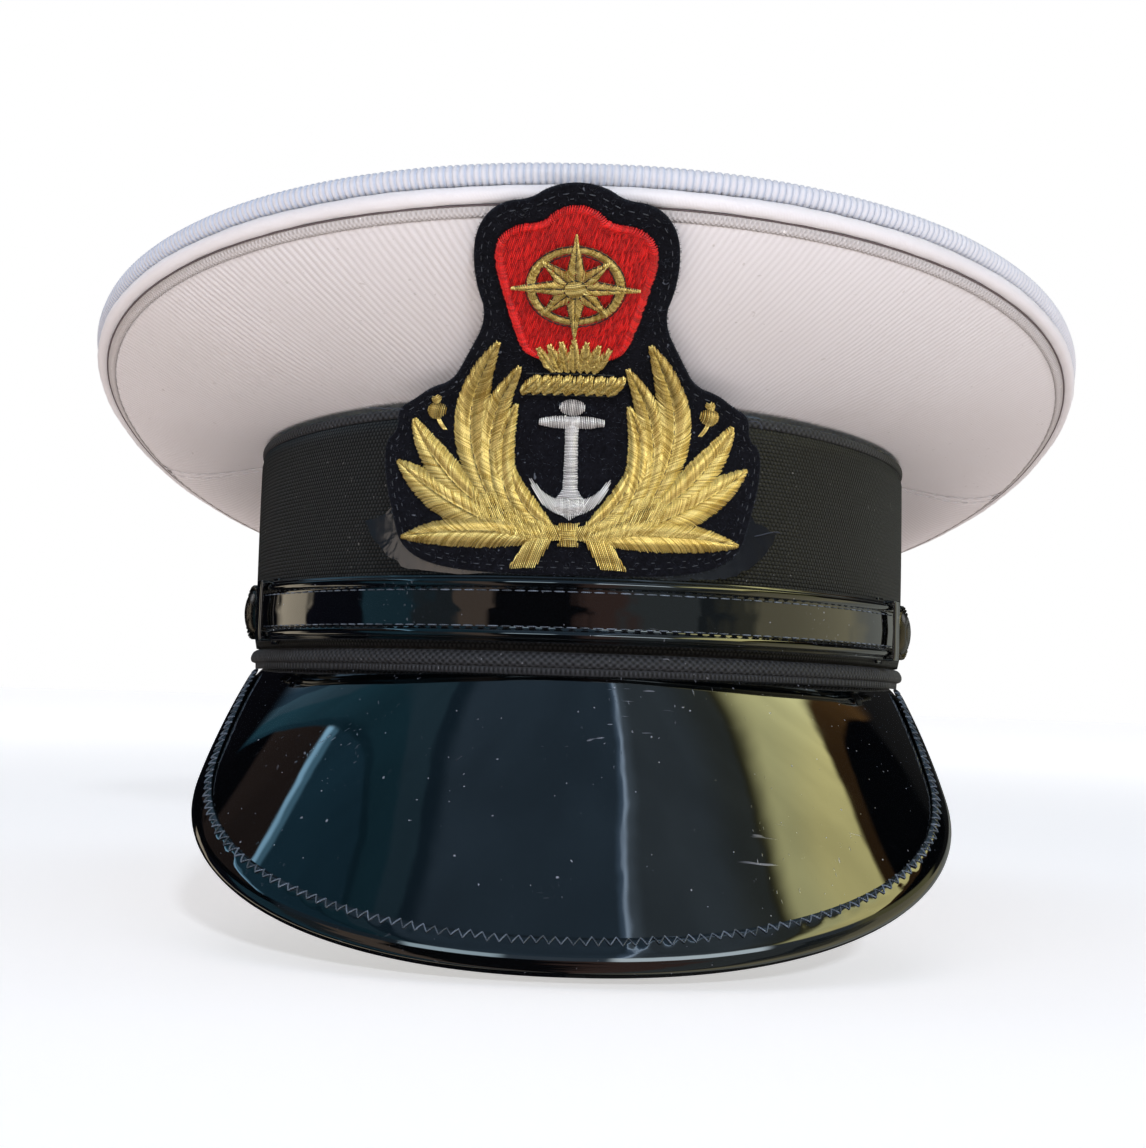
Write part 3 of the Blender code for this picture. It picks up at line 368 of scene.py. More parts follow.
def rim_frame(t):
    ct, st = math.cos(RIM_TILT), math.sin(RIM_TILT)
    power = 2.0 / RIM_POWER
    across = RIM_HALF_LENGTH * signed_power(math.sin(t), power)
    centre = Vector((RIM_HALF_WIDTH * signed_power(math.cos(t), power),
                     RIM_CENTRE_Y + across * ct,
                     RIM_CENTRE_Z - across * st + RIM_SADDLE * math.cos(2.0 * t)))
    flat = Vector((signed_power(math.cos(t), 2.0 - power) / RIM_HALF_WIDTH,
                   signed_power(math.sin(t), 2.0 - power) / RIM_HALF_LENGTH)).normalized()
    return centre, Vector((flat.x, flat.y * ct, -flat.y * st)), Vector((0.0, st, ct))


def rim_point(t, at):
    centre, out, up = rim_frame(t)
    return centre + out * at[0] + up * at[1]


def rim_stations(count):
    """Rim angles spaced evenly by length, with the length at each."""
    dense = 2880
    spots = [rim_frame(2.0 * math.pi * i / dense - math.pi / 2.0)[0] for i in range(dense + 1)]
    run = [0.0]
    for p, q in zip(spots[:-1], spots[1:]):
        run.append(run[-1] + (q - p).length)
    out = []
    for i in range(count):
        want = run[-1] * i / count
        k, f = locate(run, want)
        out.append((2.0 * math.pi * (k + f) / dense - math.pi / 2.0, want))
    return out, run[-1]


def blend_round(t, front, side, back):
    s = math.sin(t)
    return side + ((front if s < 0.0 else back) - side) * s * s


def quarter_curve(t):
    """Bezier handles from the sewn foot on the band up to the rim seam."""
    spread = 4.5 if math.sin(t) < 0.0 else 8.0
    phi = t - math.radians(spread) * math.sin(2.0 * t)
    foot = Vector((*oval(phi, QUARTER_FOOT[0]), QUARTER_FOOT[1]))
    centre, out, up = rim_frame(t)
    head = rim_point(t, QUARTER_EDGE)
    level = Vector((head.x - foot.x, head.y - foot.y, 0.0)).normalized()
    span = (head - foot).length
    rise = math.radians(blend_round(t, 37.0, -3.0, 1.0))
    fall = math.radians(blend_round(t, -36.0, -24.0, -4.0))
    grip = blend_round(t, 0.36, 0.36, 0.30)
    first = foot + (level * math.cos(rise) + UP * math.sin(rise)) * span * grip
    second = head + (-out * math.cos(fall) + up * math.sin(fall)) * span * 0.34
    return foot, first, second, head


def quarter_point(t, w):
    foot, first, second, head = quarter_curve(t)
    v = 1.0 - w
    return foot * v ** 3 + first * 3 * v * v * w + second * 3 * v * w * w + head * w ** 3


def quarter_normal(t, w):
    step = 0.004
    along = quarter_point(t + step, w) - quarter_point(t - step, w)
    rise = quarter_point(t, min(1.0, w + step)) - quarter_point(t, max(0.0, w - step))
    return along.cross(rise).normalized()


def edge_table():
    """Half of the visor's edge from tip to side, as (x, distance from root line)."""
    dense = []
    for i in range(161):
        a = 0.5 * math.pi * i / 160
        x = EDGE_HALF_WIDTH * abs(math.sin(a)) ** (2.0 / EDGE_POWER)
        dense.append((x, EDGE_SHOULDER
                      + (EDGE_LENGTH - EDGE_SHOULDER) * abs(math.cos(a)) ** (2.0 / EDGE_POWER)))
    for i in range(1, 41):
        u = EDGE_SHOULDER - (EDGE_SHOULDER - EDGE_END) * i / 40
        pull = (1.0 - u / EDGE_SHOULDER) ** 2
        dense.append((EDGE_HALF_WIDTH - (EDGE_HALF_WIDTH - EDGE_ROOT_HALF) * pull, u))
    return dense, flat_runs(dense)


EDGE_POINTS, EDGE_LENGTHS = edge_table()


def visor_edge(run):
    want = run * EDGE_LENGTHS[-1]
    i = min(max(bisect.bisect_left(EDGE_LENGTHS, want), 1), len(EDGE_LENGTHS) - 1)
    f = (want - EDGE_LENGTHS[i - 1]) / (EDGE_LENGTHS[i] - EDGE_LENGTHS[i - 1])
    (x0, u0), (x1, u1) = EDGE_POINTS[i - 1], EDGE_POINTS[i]
    x, u = x0 + (x1 - x0) * f, u0 + (u1 - u0) * f
    return Vector((x, EDGE_START[0] - u * math.cos(EDGE_SLOPE),
                   EDGE_START[1] - u * math.sin(EDGE_SLOPE)))


def visor_point(s, w):
    """Upper face of the visor: s side to side (-1..1), w from root to edge."""
    run = abs(s)
    phi = math.radians(-90.0 + (90.0 - VISOR_ROOT_ANGLE) * run)
    root = Vector((*oval(phi, VISOR_ROOT_OFF), VISOR_ROOT_Z))
    edge = visor_edge(run)
    side = -1.0 if s < 0.0 else 1.0
    root.x *= side
    edge.x *= side
    chord = edge - root
    lift = Vector((chord.x, chord.y, 0.0))
    lift = UP.copy() if lift.length < 1e-6 else lift.normalized()
    lift = (lift * 0.8 + UP * 0.6).normalized()
    width = min(1.0, chord.length / 40.0)
    return root + chord * w + lift * VISOR_BULGE * math.sin(math.pi * w) * width


def visor_edge_frame(s):
    """Edge point, inward direction and upward normal of the visor at s."""
    edge = visor_point(s, 1.0)
    inward = (visor_point(s, 0.95) - edge).normalized()
    step = 0.004
    along = (visor_point(min(1.0, s + step), 1.0) - visor_point(max(-1.0, s - step), 1.0))
    normal = inward.cross(along).normalized()
    return edge, inward, normal if normal.z > 0.0 else -normal


def badge_map(u, v, w):
    """Bend a flat badge point (right, up, out) onto the cap front."""
    u = u + BADGE_U
    lower = BADGE_CORNER_Z - BADGE_BEND_R * math.tan(BADGE_LEAN / 2.0) - BADGE_FOOT_Z
    arc = BADGE_BEND_R * BADGE_LEAN
    if v < lower:
        lean, y, z = 0.0, BADGE_Y, BADGE_FOOT_Z + v
    else:
        lean = min(BADGE_LEAN, (v - lower) / BADGE_BEND_R)
        beyond = max(0.0, v - lower - arc)
        y = BADGE_Y - BADGE_BEND_R * (1.0 - math.cos(lean)) - beyond * math.sin(lean)
        z = BADGE_FOOT_Z + lower + BADGE_BEND_R * math.sin(lean) + beyond * math.cos(lean)
    turn = u / BADGE_WRAP_R
    spot = Vector((BADGE_WRAP_R * math.sin(turn), y + BADGE_WRAP_R * (1.0 - math.cos(turn)), z))
    out = Vector((math.sin(turn) * math.cos(lean), -math.cos(turn) * math.cos(lean),
                  -math.cos(turn) * math.sin(lean)))
    return spot + out.normalized() * w


# --------------------------------------------------------------- materials
class Field:
    """A number inside a node tree that takes part in arithmetic."""

    def __init__(self, tree, socket):
        self.tree = tree
        self.socket = socket

    def math(self, operation, *others):
        node = self.tree.nodes.new("ShaderNodeMath")
        node.operation = operation
        for slot, item in zip(node.inputs, (self, *others)):
            if isinstance(item, Field):
                self.tree.links.new(item.socket, slot)
            else:
                slot.default_value = item
        return Field(self.tree, node.outputs[0])

    def __add__(self, other):
        return self.math("ADD", other)

    def __sub__(self, other):
        return self.math("SUBTRACT", other)

    def __mul__(self, other):
        return self.math("MULTIPLY", other)

    def __truediv__(self, other):
        return self.math("DIVIDE", other)

    __radd__ = __add__
    __rmul__ = __mul__

    def __rsub__(self, other):
        return (self * -1.0) + other

    def sin(self):
        return self.math("SINE")

    def abs(self):
        return self.math("ABSOLUTE")

    def floor(self):
        return self.math("FLOOR")

    def power(self, value):
        return self.math("POWER", value)

    def above(self, low, high):
        """0 below low, 1 above high, smooth between; low > high turns it round."""
        node = self.tree.nodes.new("ShaderNodeMapRange")
        node.interpolation_type = "SMOOTHSTEP"
        self.tree.links.new(self.socket, node.inputs["Value"])
        flip = low > high
        node.inputs["From Min"].default_value = high if flip else low
        node.inputs["From Max"].default_value = low if flip else high
        node.inputs["To Min"].default_value = 1.0 if flip else 0.0
        node.inputs["To Max"].default_value = 0.0 if flip else 1.0
        return Field(self.tree, node.outputs["Result"])


def mix_colours(tree, factor, low, high, kind="MIX"):
    """Colour between two colours or colour sockets."""
    node = tree.nodes.new("ShaderNodeMix")
    node.data_type = "RGBA"
    node.blend_type = kind
    tree.links.new(factor.socket, node.inputs["Factor"])
    for slot, item in zip([s for s in node.inputs if s.type == "RGBA"], (low, high)):
        if isinstance(item, tuple):
            slot.default_value = (*item, 1.0)
        else:
            tree.links.new(item, slot)
    return [s for s in node.outputs if s.type == "RGBA"][0]


class Paint:
    """One material: a Principled shader and helpers to feed it."""

    def __init__(self, name):
        self.mat = bpy.data.materials.new(name)
        self.mat.use_nodes = True
        self.tree = self.mat.node_tree
        self.shader = self.tree.nodes["Principled BSDF"]
        self.coords = self.tree.nodes.new("ShaderNodeTexCoord")

    def split(self, socket):
        node = self.tree.nodes.new("ShaderNodeSeparateXYZ")
        self.tree.links.new(socket, node.inputs[0])
        return [Field(self.tree, s) for s in node.outputs]

    def uv(self):
        """Cloth coordinates in millimetres."""
        u, v, _ = self.split(self.coords.outputs["UV"])
        return u, v

    def place(self):
        """Position in the cap's frame, millimetres."""
        x, y, z = self.split(self.coords.outputs["Object"])
        return x * 1000.0, y * 1000.0, z * 1000.0 + SEAT_Z

    def vector(self, *fields):
        node = self.tree.nodes.new("ShaderNodeCombineXYZ")
        for slot, item in zip(node.inputs, fields):
            if isinstance(item, Field):
                self.tree.links.new(item.socket, slot)
            else:
                slot.default_value = item
        return node.outputs[0]

    def noise(self, size, detail=2.0, vector=None, roughness=0.5, distortion=0.0):
        """Noise from 0 to 1 whose features are about size millimetres across."""
        node = self.tree.nodes.new("ShaderNodeTexNoise")
        node.inputs["Detail"].default_value = detail
        node.inputs["Roughness"].default_value = roughness
        node.inputs["Distortion"].default_value = distortion
        if vector is None:
            vector = self.coords.outputs["Object"]
            node.inputs["Scale"].default_value = 1000.0 / size
        else:
            node.inputs["Scale"].default_value = 1.0 / size
        self.tree.links.new(vector, node.inputs["Vector"])
        return Field(self.tree, node.outputs[0])

    def mix(self, factor, low, high):
        return mix_colours(self.tree, factor, low, high)

    def bump(self, height, distance, strength=1.0, after=None):
        """Bump from a height field; distance is in millimetres."""
        node = self.tree.nodes.new("ShaderNodeBump")
        node.inputs["Strength"].default_value = strength
        node.inputs["Distance"].default_value = distance * MM
        self.tree.links.new(height.socket, node.inputs["Height"])
        if after is not None:
            self.tree.links.new(after, node.inputs["Normal"])
        return node.outputs[0]

    def set(self, **values):
        """Principled inputs; underscores stand for spaces."""
        for key, value in values.items():
            slot = self.shader.inputs[key.replace("_", " ")]
            if isinstance(value, Field):
                self.tree.links.new(value.socket, slot)
            elif isinstance(value, bpy.types.NodeSocket):
                self.tree.links.new(value, slot)
            elif isinstance(value, tuple):
                slot.default_value = (*value, 1.0) if len(value) == 3 else value
            else:
                slot.default_value = value
        return self


def wave(field, pitch):
    """Sine of a length field with the given pitch, from 0 to 1."""
    return (field * (2.0 * math.pi / pitch)).sin() * 0.5 + 0.5


def white_cloth(name, lean, pitch=1.5, relief=0.09):
    """Stretched white uniform cloth with fine cords leaning across the panel, with painted shade in the
    grooves between the cords.
    """
    paint = Paint(name)
    u, v = paint.uv()
    wobble = paint.noise(14.0, 1.0) * 1.2
    cords = wave(u * math.cos(lean) + v * math.sin(lean) + wobble, pitch)
    fine = wave(v * math.cos(lean) - u * math.sin(lean), 0.42)
    fuzz = paint.noise(0.35, 3.0)
    cloud = paint.noise(60.0, 2.0)
    strength = paint.noise(30.0, 1.0).above(0.3, 0.65) * 0.5 + 0.5
    height = cords.power(0.7) * strength + fine * 0.10 + fuzz * 0.18
    # The cords darken the colour in their grooves as painted shade; the cloud is the cloth's own uneven
    # tone.
    tone = cords * 0.5 + cloud * 0.5
    base = paint.mix(tone, (0.70, 0.685, 0.70), (0.86, 0.85, 0.87))
    specks = paint.noise(1.1, 0.0).above(0.80, 0.86)
    base = paint.mix(specks * 0.5, base, (0.5, 0.48, 0.47))
    rough = fuzz * 0.15 + 0.42
    paint.set(Base_Color=base, Roughness=rough, Normal=paint.bump(height, relief, 0.75),
              Sheen_Weight=0.25, Sheen_Roughness=0.4, Specular_IOR_Level=0.45)
    return paint.mat


def piping_cloth():
    """Smooth bead cloth with a fine slanting rib."""
    paint = Paint("piping_cloth")
    u, v = paint.uv()
    fuzz = paint.noise(0.4, 3.0)
    ribs = wave(u + v * 0.35, 0.62)
    base = paint.mix(paint.noise(35.0), (0.76, 0.755, 0.78), (0.88, 0.88, 0.91))
    paint.set(Base_Color=base, Roughness=fuzz * 0.15 + 0.45, Sheen_Weight=0.3,
              Normal=paint.bump(ribs * 0.6 + fuzz * 0.5, 0.05, 0.6))
    return paint.mat


def roll_cloth():
    """Corded roll round the crown's edge, its white cloth darkened with painted shade: lighter on the
    crests, painted cool shade in the grooves.
    """
    paint = Paint("roll_cloth")
    u, v = paint.uv()
    painted_crest_light = wave(u, ROLL_PITCH)
    split = wave(u, ROLL_PITCH * 0.5)
    fuzz = paint.noise(0.3, 3.0)
    # Painted light on the crests and painted cool shade in the grooves, on cloth kept darker than the walls
    # as painted shade.
    base = paint.mix(painted_crest_light.power(0.6), (0.50, 0.57, 0.70), (0.74, 0.755, 0.80))
    paint.set(Base_Color=base, Roughness=fuzz * 0.2 + 0.5, Sheen_Weight=0.3,
              Normal=paint.bump(split * 0.5 + fuzz * 0.5, 0.07, 0.7))
    return paint.mat


def braid_cloth():
    """Black ribbon braid: rows of short floats, each row shifted by half a float."""
    paint = Paint("braid_cloth")
    u, v = paint.uv()
    row_pitch, float_pitch = 0.82, 1.02
    row = (v / row_pitch).floor()
    shift = (row * 0.5 - (row * 0.5).floor()) * float_pitch
    ridge = (v * (math.pi / row_pitch)).sin().abs()
    floats = wave(u + shift + paint.noise(9.0, 1.0) * 0.8, float_pitch)
    thread = wave(u * 0.5 + v, 0.17)
    height = ridge.power(0.7) * (floats * 0.75 + 0.25) + thread * 0.08
    # Colour follows the relief: painted highlight on the floats' crests and painted shade in the hollows
    # between rows; the noise is the braid's own uneven tone.
    tone = (height * 0.8 + paint.noise(1.3, 2.0) * 0.35).above(0.25, 1.05)
    base = paint.mix(tone, (0.0005, 0.0006, 0.0008), (0.020, 0.021, 0.021))
    lint = paint.noise(0.8, 0.0).above(0.83, 0.88)
    base = paint.mix(lint * 0.7, base, (0.22, 0.22, 0.21))
    paint.set(Base_Color=base, Roughness=0.52 - floats * 0.12, Sheen_Weight=0.02,
              Sheen_Roughness=0.35, Specular_IOR_Level=0.2,
              Normal=paint.bump(height, 0.22, 0.9))
    return paint.mat


def coarse_cloth(name, low, high, pitch=0.7, sheen=0.1):
    """Plain weave: two crossed sets of threads, over and under."""
    paint = Paint(name)
    u, v = paint.uv()
    over = (u * (math.pi / pitch)).sin()
    under = (v * (math.pi / pitch)).sin()
    weave = (over * under) * 0.5 + 0.5
    fuzz = paint.noise(0.45, 3.0)
    base = paint.mix((weave * 0.9 + fuzz * 0.4).above(0.1, 1.1), low, high)
    lint = paint.noise(0.7, 0.0).above(0.80, 0.86)
    base = paint.mix(lint * 0.8, base, tuple(min(1.0, c * 4.0 + 0.05) for c in high))
    paint.set(Base_Color=base, Roughness=fuzz * 0.2 + 0.6, Sheen_Weight=sheen,
              Specular_IOR_Level=0.35, Normal=paint.bump(weave + fuzz * 0.6, 0.30, 0.9))
    return paint.mat


def patent(name, tint=(0.002, 0.003, 0.004), wear=1.0, ripple=0.035):
    """Mirror-glossy lacquered leather with dust, hairline scratches and slow ripples."""
    paint = Paint(name)
    x, y, z = paint.place()
    slow = paint.noise(26.0, 1.0)
    mid = paint.noise(7.0, 1.0)
    along = paint.vector(x * 0.25 + z * 0.9, y * 2.4 - x * 0.5, z)
    across = paint.vector(x * 2.6 + y * 0.7, y * 0.22, z)
    hair = paint.noise(1.6, 1.0, along).above(0.70, 0.77) + paint.noise(1.9, 1.0, across).above(
        0.71, 0.78)
    patch = paint.noise(22.0, 2.0).above(0.46, 0.70)
    dust = paint.noise(0.75, 0.0).above(0.84, 0.88)
    marks = (hair * patch * 0.6 + dust) * wear
    haze = paint.noise(18.0, 2.0).above(0.45, 0.8)
    base = paint.mix(marks.above(0.0, 1.0), tint, (0.55, 0.62, 0.75))
    rough = haze * 0.035 * wear + marks * 0.30 + 0.028
    height = slow + mid * 0.16
    normal = paint.bump(height, ripple * 10.0, 0.5)
    normal = paint.bump(marks, 0.02, 0.5, normal)
    paint.set(Base_Color=base, Roughness=rough, Specular_IOR_Level=0.62, Coat_Weight=0.6,
              Coat_Roughness=0.02, Normal=normal)
    return paint.mat


def thread_paint(name, dark, light, metallic, rough, twist=0.42, relief=0.03):
    """Embroidery yarn: a fine wrap along each thread, and a tone of its own."""
    paint = Paint(name)
    run, tone = paint.uv()
    wrap = wave(run + tone * 3.0, twist)
    fleck = paint.noise(0.5, 2.0)
    shade = (tone * 0.55 + wrap * 0.25 + fleck * 0.45).above(0.15, 1.05)
    paint.set(Base_Color=paint.mix(shade, dark, light), Metallic=metallic,
              Roughness=fleck * 0.2 + rough, Specular_IOR_Level=0.5,
              Normal=paint.bump(wrap + fleck * 0.5, relief, 0.7))
    return paint.mat


def felt(name, low, high):
    """Fuzzy pressed felt with a little pale lint."""
    paint = Paint(name)
    fuzz = paint.noise(0.5, 4.0, roughness=0.7)
    curl = paint.noise(2.2, 3.0, distortion=1.5)
    base = paint.mix((fuzz * 0.6 + curl * 0.4).above(0.35, 0.75), low, high)
    lint = paint.noise(0.9, 0.0).above(0.80, 0.86)
    base = paint.mix(lint * 0.8, base, (0.13, 0.15, 0.19))
    paint.set(Base_Color=base, Roughness=0.95, Sheen_Weight=0.08, Sheen_Roughness=0.5,
              Sheen_Tint=(0.35, 0.42, 0.6), Specular_IOR_Level=0.12,
              Normal=paint.bump(fuzz + curl * 0.5, 0.25, 0.8))
    return paint.mat


def leather(name, low, high, grain=0.9, rough=0.45):
    """Grained leather or vinyl, mottled between two colours."""
    paint = Paint(name)
    cell = paint.noise(grain, 3.0, distortion=0.6)
    tone = paint.noise(18.0, 2.0)
    base = paint.mix((cell * 0.4 + tone * 0.6).above(0.3, 0.7), low, high)
    paint.set(Base_Color=base, Roughness=cell * 0.2 + rough,
              Normal=paint.bump(cell, 0.12, 0.6))
    return paint.mat


def satin(name, low, high):
    """Lining satin with a fine twill."""
    paint = Paint(name)
    u, v = paint.uv()
    twill = wave(u + v, 0.5)
    base = paint.mix(paint.noise(20.0, 2.0) * 0.6 + twill * 0.3, low, high)
    paint.set(Base_Color=base, Roughness=0.38, Anisotropic=0.4, Sheen_Weight=0.2,
              Normal=paint.bump(twill, 0.04, 0.6))
    return paint.mat


def brushed_metal(name, low, high, rough):
    """Metal with faint brushing and stains."""
    paint = Paint(name)
    stain = paint.noise(2.5, 3.0)
    hair = paint.noise(0.4, 2.0)
    paint.set(Base_Color=paint.mix(stain, low, high), Metallic=1.0,
              Roughness=hair * 0.2 + rough, Normal=paint.bump(hair, 0.02, 0.5))
    return paint.mat


def fibre_board(name, low, high):
    """Pressed fibre board with visible strands."""
    paint = Paint(name)
    strand = paint.noise(1.2, 4.0, distortion=2.0)
    paint.set(Base_Color=paint.mix(strand.above(0.35, 0.7), low, high), Roughness=0.9,
              Normal=paint.bump(strand, 0.2, 0.7))
    return paint.mat


def film(name, colour, alpha):
    """Creased plastic sheet."""
    paint = Paint(name)
    crease = paint.noise(5.0, 2.0, distortion=1.0)
    paint.set(Base_Color=colour, Roughness=crease * 0.15 + 0.08, Alpha=alpha,
              Normal=paint.bump(crease, 0.4, 0.6))
    return paint.mat


# ---------------------------------------------------------------- crown
ROLL_PITCH = 1.34
CORD_LEAN = math.radians(9.0)
EDGE_STATIONS = 900


def flat_pattern(arc, rise, total):
    """Unroll the flared side wall: arc at the rim, height up the wall, mm."""
    spread = 8.0 * total                       # slant distance from the cone's tip to the rim
    radius = spread - (total - rise)
    turn = arc / spread
    return radius * math.sin(turn), radius * math.cos(turn) - spread + total


def wall_length(t):
    points = [quarter_point(t, i / 12) for i in range(13)]
    return sum((q - p).length for p, q in zip(points[:-1], points[1:]))


def quarter(name, start, stop, count, mat, rows=44):
    """One side panel: foot on the band, head tucked in behind the piping."""
    angles = [math.radians(start + (stop - start) * i / count) for i in range(count + 1)]
    arcs = [0.0]
    for a, b in zip(angles[:-1], angles[1:]):
        arcs.append(arcs[-1] + (rim_frame(b)[0] - rim_frame(a)[0]).length)
    lengths = [wall_length(t) for t in angles]
    mid = 0.5 * (angles[0] + angles[-1])
    offset = arcs[-1] * (angles.index(min(angles, key=lambda t: abs(t - mid))) / count)
    lines = []
    for t, arc in zip(angles, arcs):
        side_gap = min(arc, arcs[-1] - arc)
        pucker = math.exp(-(side_gap / 2.2) ** 2)
        line = []
        for j in range(rows + 1):
            w = j / rows
            spot = quarter_point(t, w)
            normal = quarter_normal(t, w)
            soft = 0.30 * math.sin(arc * 0.11 + 2.0 * w) * math.sin(math.pi * w)
            gather = 0.12 * math.sin(arc * 1.9) * math.exp(-w / 0.07)
            gather += 0.10 * math.sin(arc * 1.3 + 1.0) * math.exp(-(1.0 - w) / 0.05)
            line.append(spot + normal * (soft * 0.35 + gather - 0.45 * pucker))
        line.append(rim_point(t, HEM_TURN))
        line.append(rim_point(t, HEM_END))
        lines.append(line)
    depth = len(lines[0]) - 1

    def uv(i, j):
        total = lengths[min(i, count)]
        return flat_pattern(arcs[min(i, count)] - offset, total * j / depth, 60.0)

    obj = loft(name + "_cloth", lines, mat, uv, nodes=(name,), facing=(0, 0, -5000))
    return thicken(obj, CLOTH)


def crown_walls():
    left = white_cloth("crown_cloth_left", -CORD_LEAN, pitch=1.35, relief=0.10)
    right = white_cloth("crown_cloth_right", CORD_LEAN, pitch=1.6, relief=0.20)
    gap = SEAM_HALF_ANGLE
    quarter("crown_front_left_quarter", -90.0 + gap, SIDE_SEAM - gap, 150, left)
    quarter("crown_rear_left_quarter", SIDE_SEAM + gap, 90.0 - gap, 130, left)
    quarter("crown_rear_right_quarter", 90.0 + gap, 180.0 - SIDE_SEAM - gap, 130, right)
    quarter("crown_front_right_quarter", 180.0 - SIDE_SEAM + gap, 270.0 - gap, 150, right)


def seam_stitches():
    """Top stitching beside the four wall seams."""
    stitch = Threads()
    for seam in (-90.0, SIDE_SEAM, 90.0, 180.0 - SIDE_SEAM):
        for side in (-1.0, 1.0):
            t = math.radians(seam + side * 0.95)
            total = wall_length(t)
            for i in range(int(total / 2.7)):
                w0, w1 = (i * 2.7 + 0.5) / total, (i * 2.7 + 2.5) / total
                path = []
                for k in range(5):
                    w = w0 + (w1 - w0) * k / 4
                    lift = 0.05 + 0.16 * math.sin(math.pi * k / 4)
                    path.append(quarter_point(t, w) + quarter_normal(t, w) * lift)
                normal = quarter_normal(t, w0)
                stitch.add(path, 0.16, lambda _: normal, taper=0.5)
    stitch.piece("crown_seam_stitching", THREAD_WHITE)


def sheet_height(y):
    return 74.3 - 0.132 * y


def crown_top():
    """Top panel: rounded shoulder at the rim, then a taut, faintly rippled sheet."""
    cols, rings = 220, 40
    rows = []
    for j in range(rings):
        ratio = 1.0 - (j / rings) ** 1.5
        row = []
        for i in range(cols):
            t = 2.0 * math.pi * i / cols - math.pi / 2.0
            edge = rim_point(t, TOP_EDGE)
            x = edge.x * ratio
            y = RIM_CENTRE_Y + (edge.y - RIM_CENTRE_Y) * ratio
            z = edge.z + (sheet_height(y) - edge.z) * math.sqrt(max(0.0, 1.0 - ratio ** 9))
            near = math.exp(-((1.0 - ratio) / 0.16) ** 2) * (1.0 - math.exp(-(1 - ratio) / 0.02))
            z += 0.16 * near * math.sin(t * 34.0 + 1.5 * math.sin(t * 3.0))
            row.append(Vector((x, y, z)))
        rows.append(row)
    points = [p for row in rows for p in row]
    points.append(Vector((0.0, RIM_CENTRE_Y, sheet_height(RIM_CENTRE_Y))))
    faces, corners = [], []
    for j in range(rings - 1):
        for i in range(cols):
            k = (i + 1) % cols
            faces.append((j * cols + i, j * cols + k, (j + 1) * cols + k, (j + 1) * cols + i))
    for i in range(cols):
        faces.append(((rings - 1) * cols + i, (rings - 1) * cols + (i + 1) % cols, len(points) - 1))
    for face in faces:
        corners += [(points[i].x, points[i].y) for i in face]
    mat = white_cloth("crown_top_cloth", math.radians(3.0), pitch=1.4, relief=0.06)
    obj = mesh_piece("crown_top_panel_cloth", points, faces, mat, corners,
                     nodes=("crown_top_panel",), facing=(0, 0, 5000))
    settle(obj, cols)
    return thicken(obj, CLOTH)


def settle(obj, cols):
    """Let the top panel hang from its pinned rim, then cap how far it moved."""
    rest = [v.co.copy() for v in obj.data.vertices]
    pins = obj.vertex_groups.new(name="rim")
    pins.add(list(range(PINNED_RINGS * cols)), 1.0, "REPLACE")
    cloth = obj.modifiers.new("hang", "CLOTH")
    cloth.settings.quality = 5
    cloth.settings.mass = 0.25
    cloth.settings.tension_stiffness = 25.0
    cloth.settings.compression_stiffness = 25.0
    cloth.settings.bending_stiffness = 2.0
    cloth.settings.vertex_group_mass = "rim"
    cloth.collision_settings.use_collision = False
    cloth.point_cache.frame_start = 1
    cloth.point_cache.frame_end = HANG_FRAMES
    scene = bpy.context.scene
    for step in range(1, HANG_FRAMES + 1):
        scene.frame_set(step)
    graph = bpy.context.evaluated_depsgraph_get()
    hung = obj.evaluated_get(graph).data
    moved = [v.co.copy() for v in hung.vertices]
    obj.modifiers.remove(cloth)
    obj.vertex_groups.clear()
    for vert, old, new in zip(obj.data.vertices, rest, moved):
        shift = new - old
        if shift.length > MOST_SAG * MM:
            shift = shift.normalized() * MOST_SAG * MM
        vert.co = old + shift
    scene.frame_set(1)


def rim_tube(name, at, radius, count, sides, mat, nodes):
    stations, total = rim_stations(count)
    rings = []
    for t, run in stations:
        ring = []
        for k in range(sides):
            a = 2.0 * math.pi * k / sides
            size = radius(run, a)
            ring.append(rim_point(t, (at[0] + size * math.cos(a), at[1] + size * math.sin(a))))
        rings.append(ring)

    def uv(i, j):
        return total * i / count, 2.0 * math.pi * 2.0 * j / sides

    return loft(name, rings, mat, uv, close_rows=True, close_cols=True, nodes=nodes, closed=True)


def rim_tape():
    """Smooth tape of the piping, sewn over the wall's top edge and greyed as painted shadow of the piping,
    and a dark cord in the groove under the piping as painted shade.
    """
    stations, total = rim_stations(EDGE_STATIONS)
    rings = []
    for t, run in stations:
        w = 1.0 - TAPE_OVERLAP / wall_length(t)
        foot, normal = quarter_point(t, w), quarter_normal(t, w)
        head = rim_point(t, HEM_TURN)
        edge = rim_point(t, QUARTER_EDGE)
        rings.append([foot + normal * 0.18, edge + normal * 0.20, head + normal * 0.12,
                      head - normal * 0.2, edge - normal * 0.2, foot - normal * 0.2])

    def uv(i, j):
        return total * i / EDGE_STATIONS, j * 0.8

    # The tape's grey is painted shadow cast by the piping.
    tape = coarse_cloth("tape_cloth", (0.50, 0.48, 0.48), (0.64, 0.62, 0.62), 0.5, 0.1)
    loft("crown_piping_tape", rings, tape, uv, close_rows=True, close_cols=True, closed=True,
         nodes=("crown_piping",))
    # Dark cord as painted shade in the groove under the piping.
    rim_tube("crown_piping_seam", SHADE_CORD, lambda run, a: SHADE_CORD_R, EDGE_STATIONS, 6, THREAD_SHADE_CORD,
             ("crown_piping",))


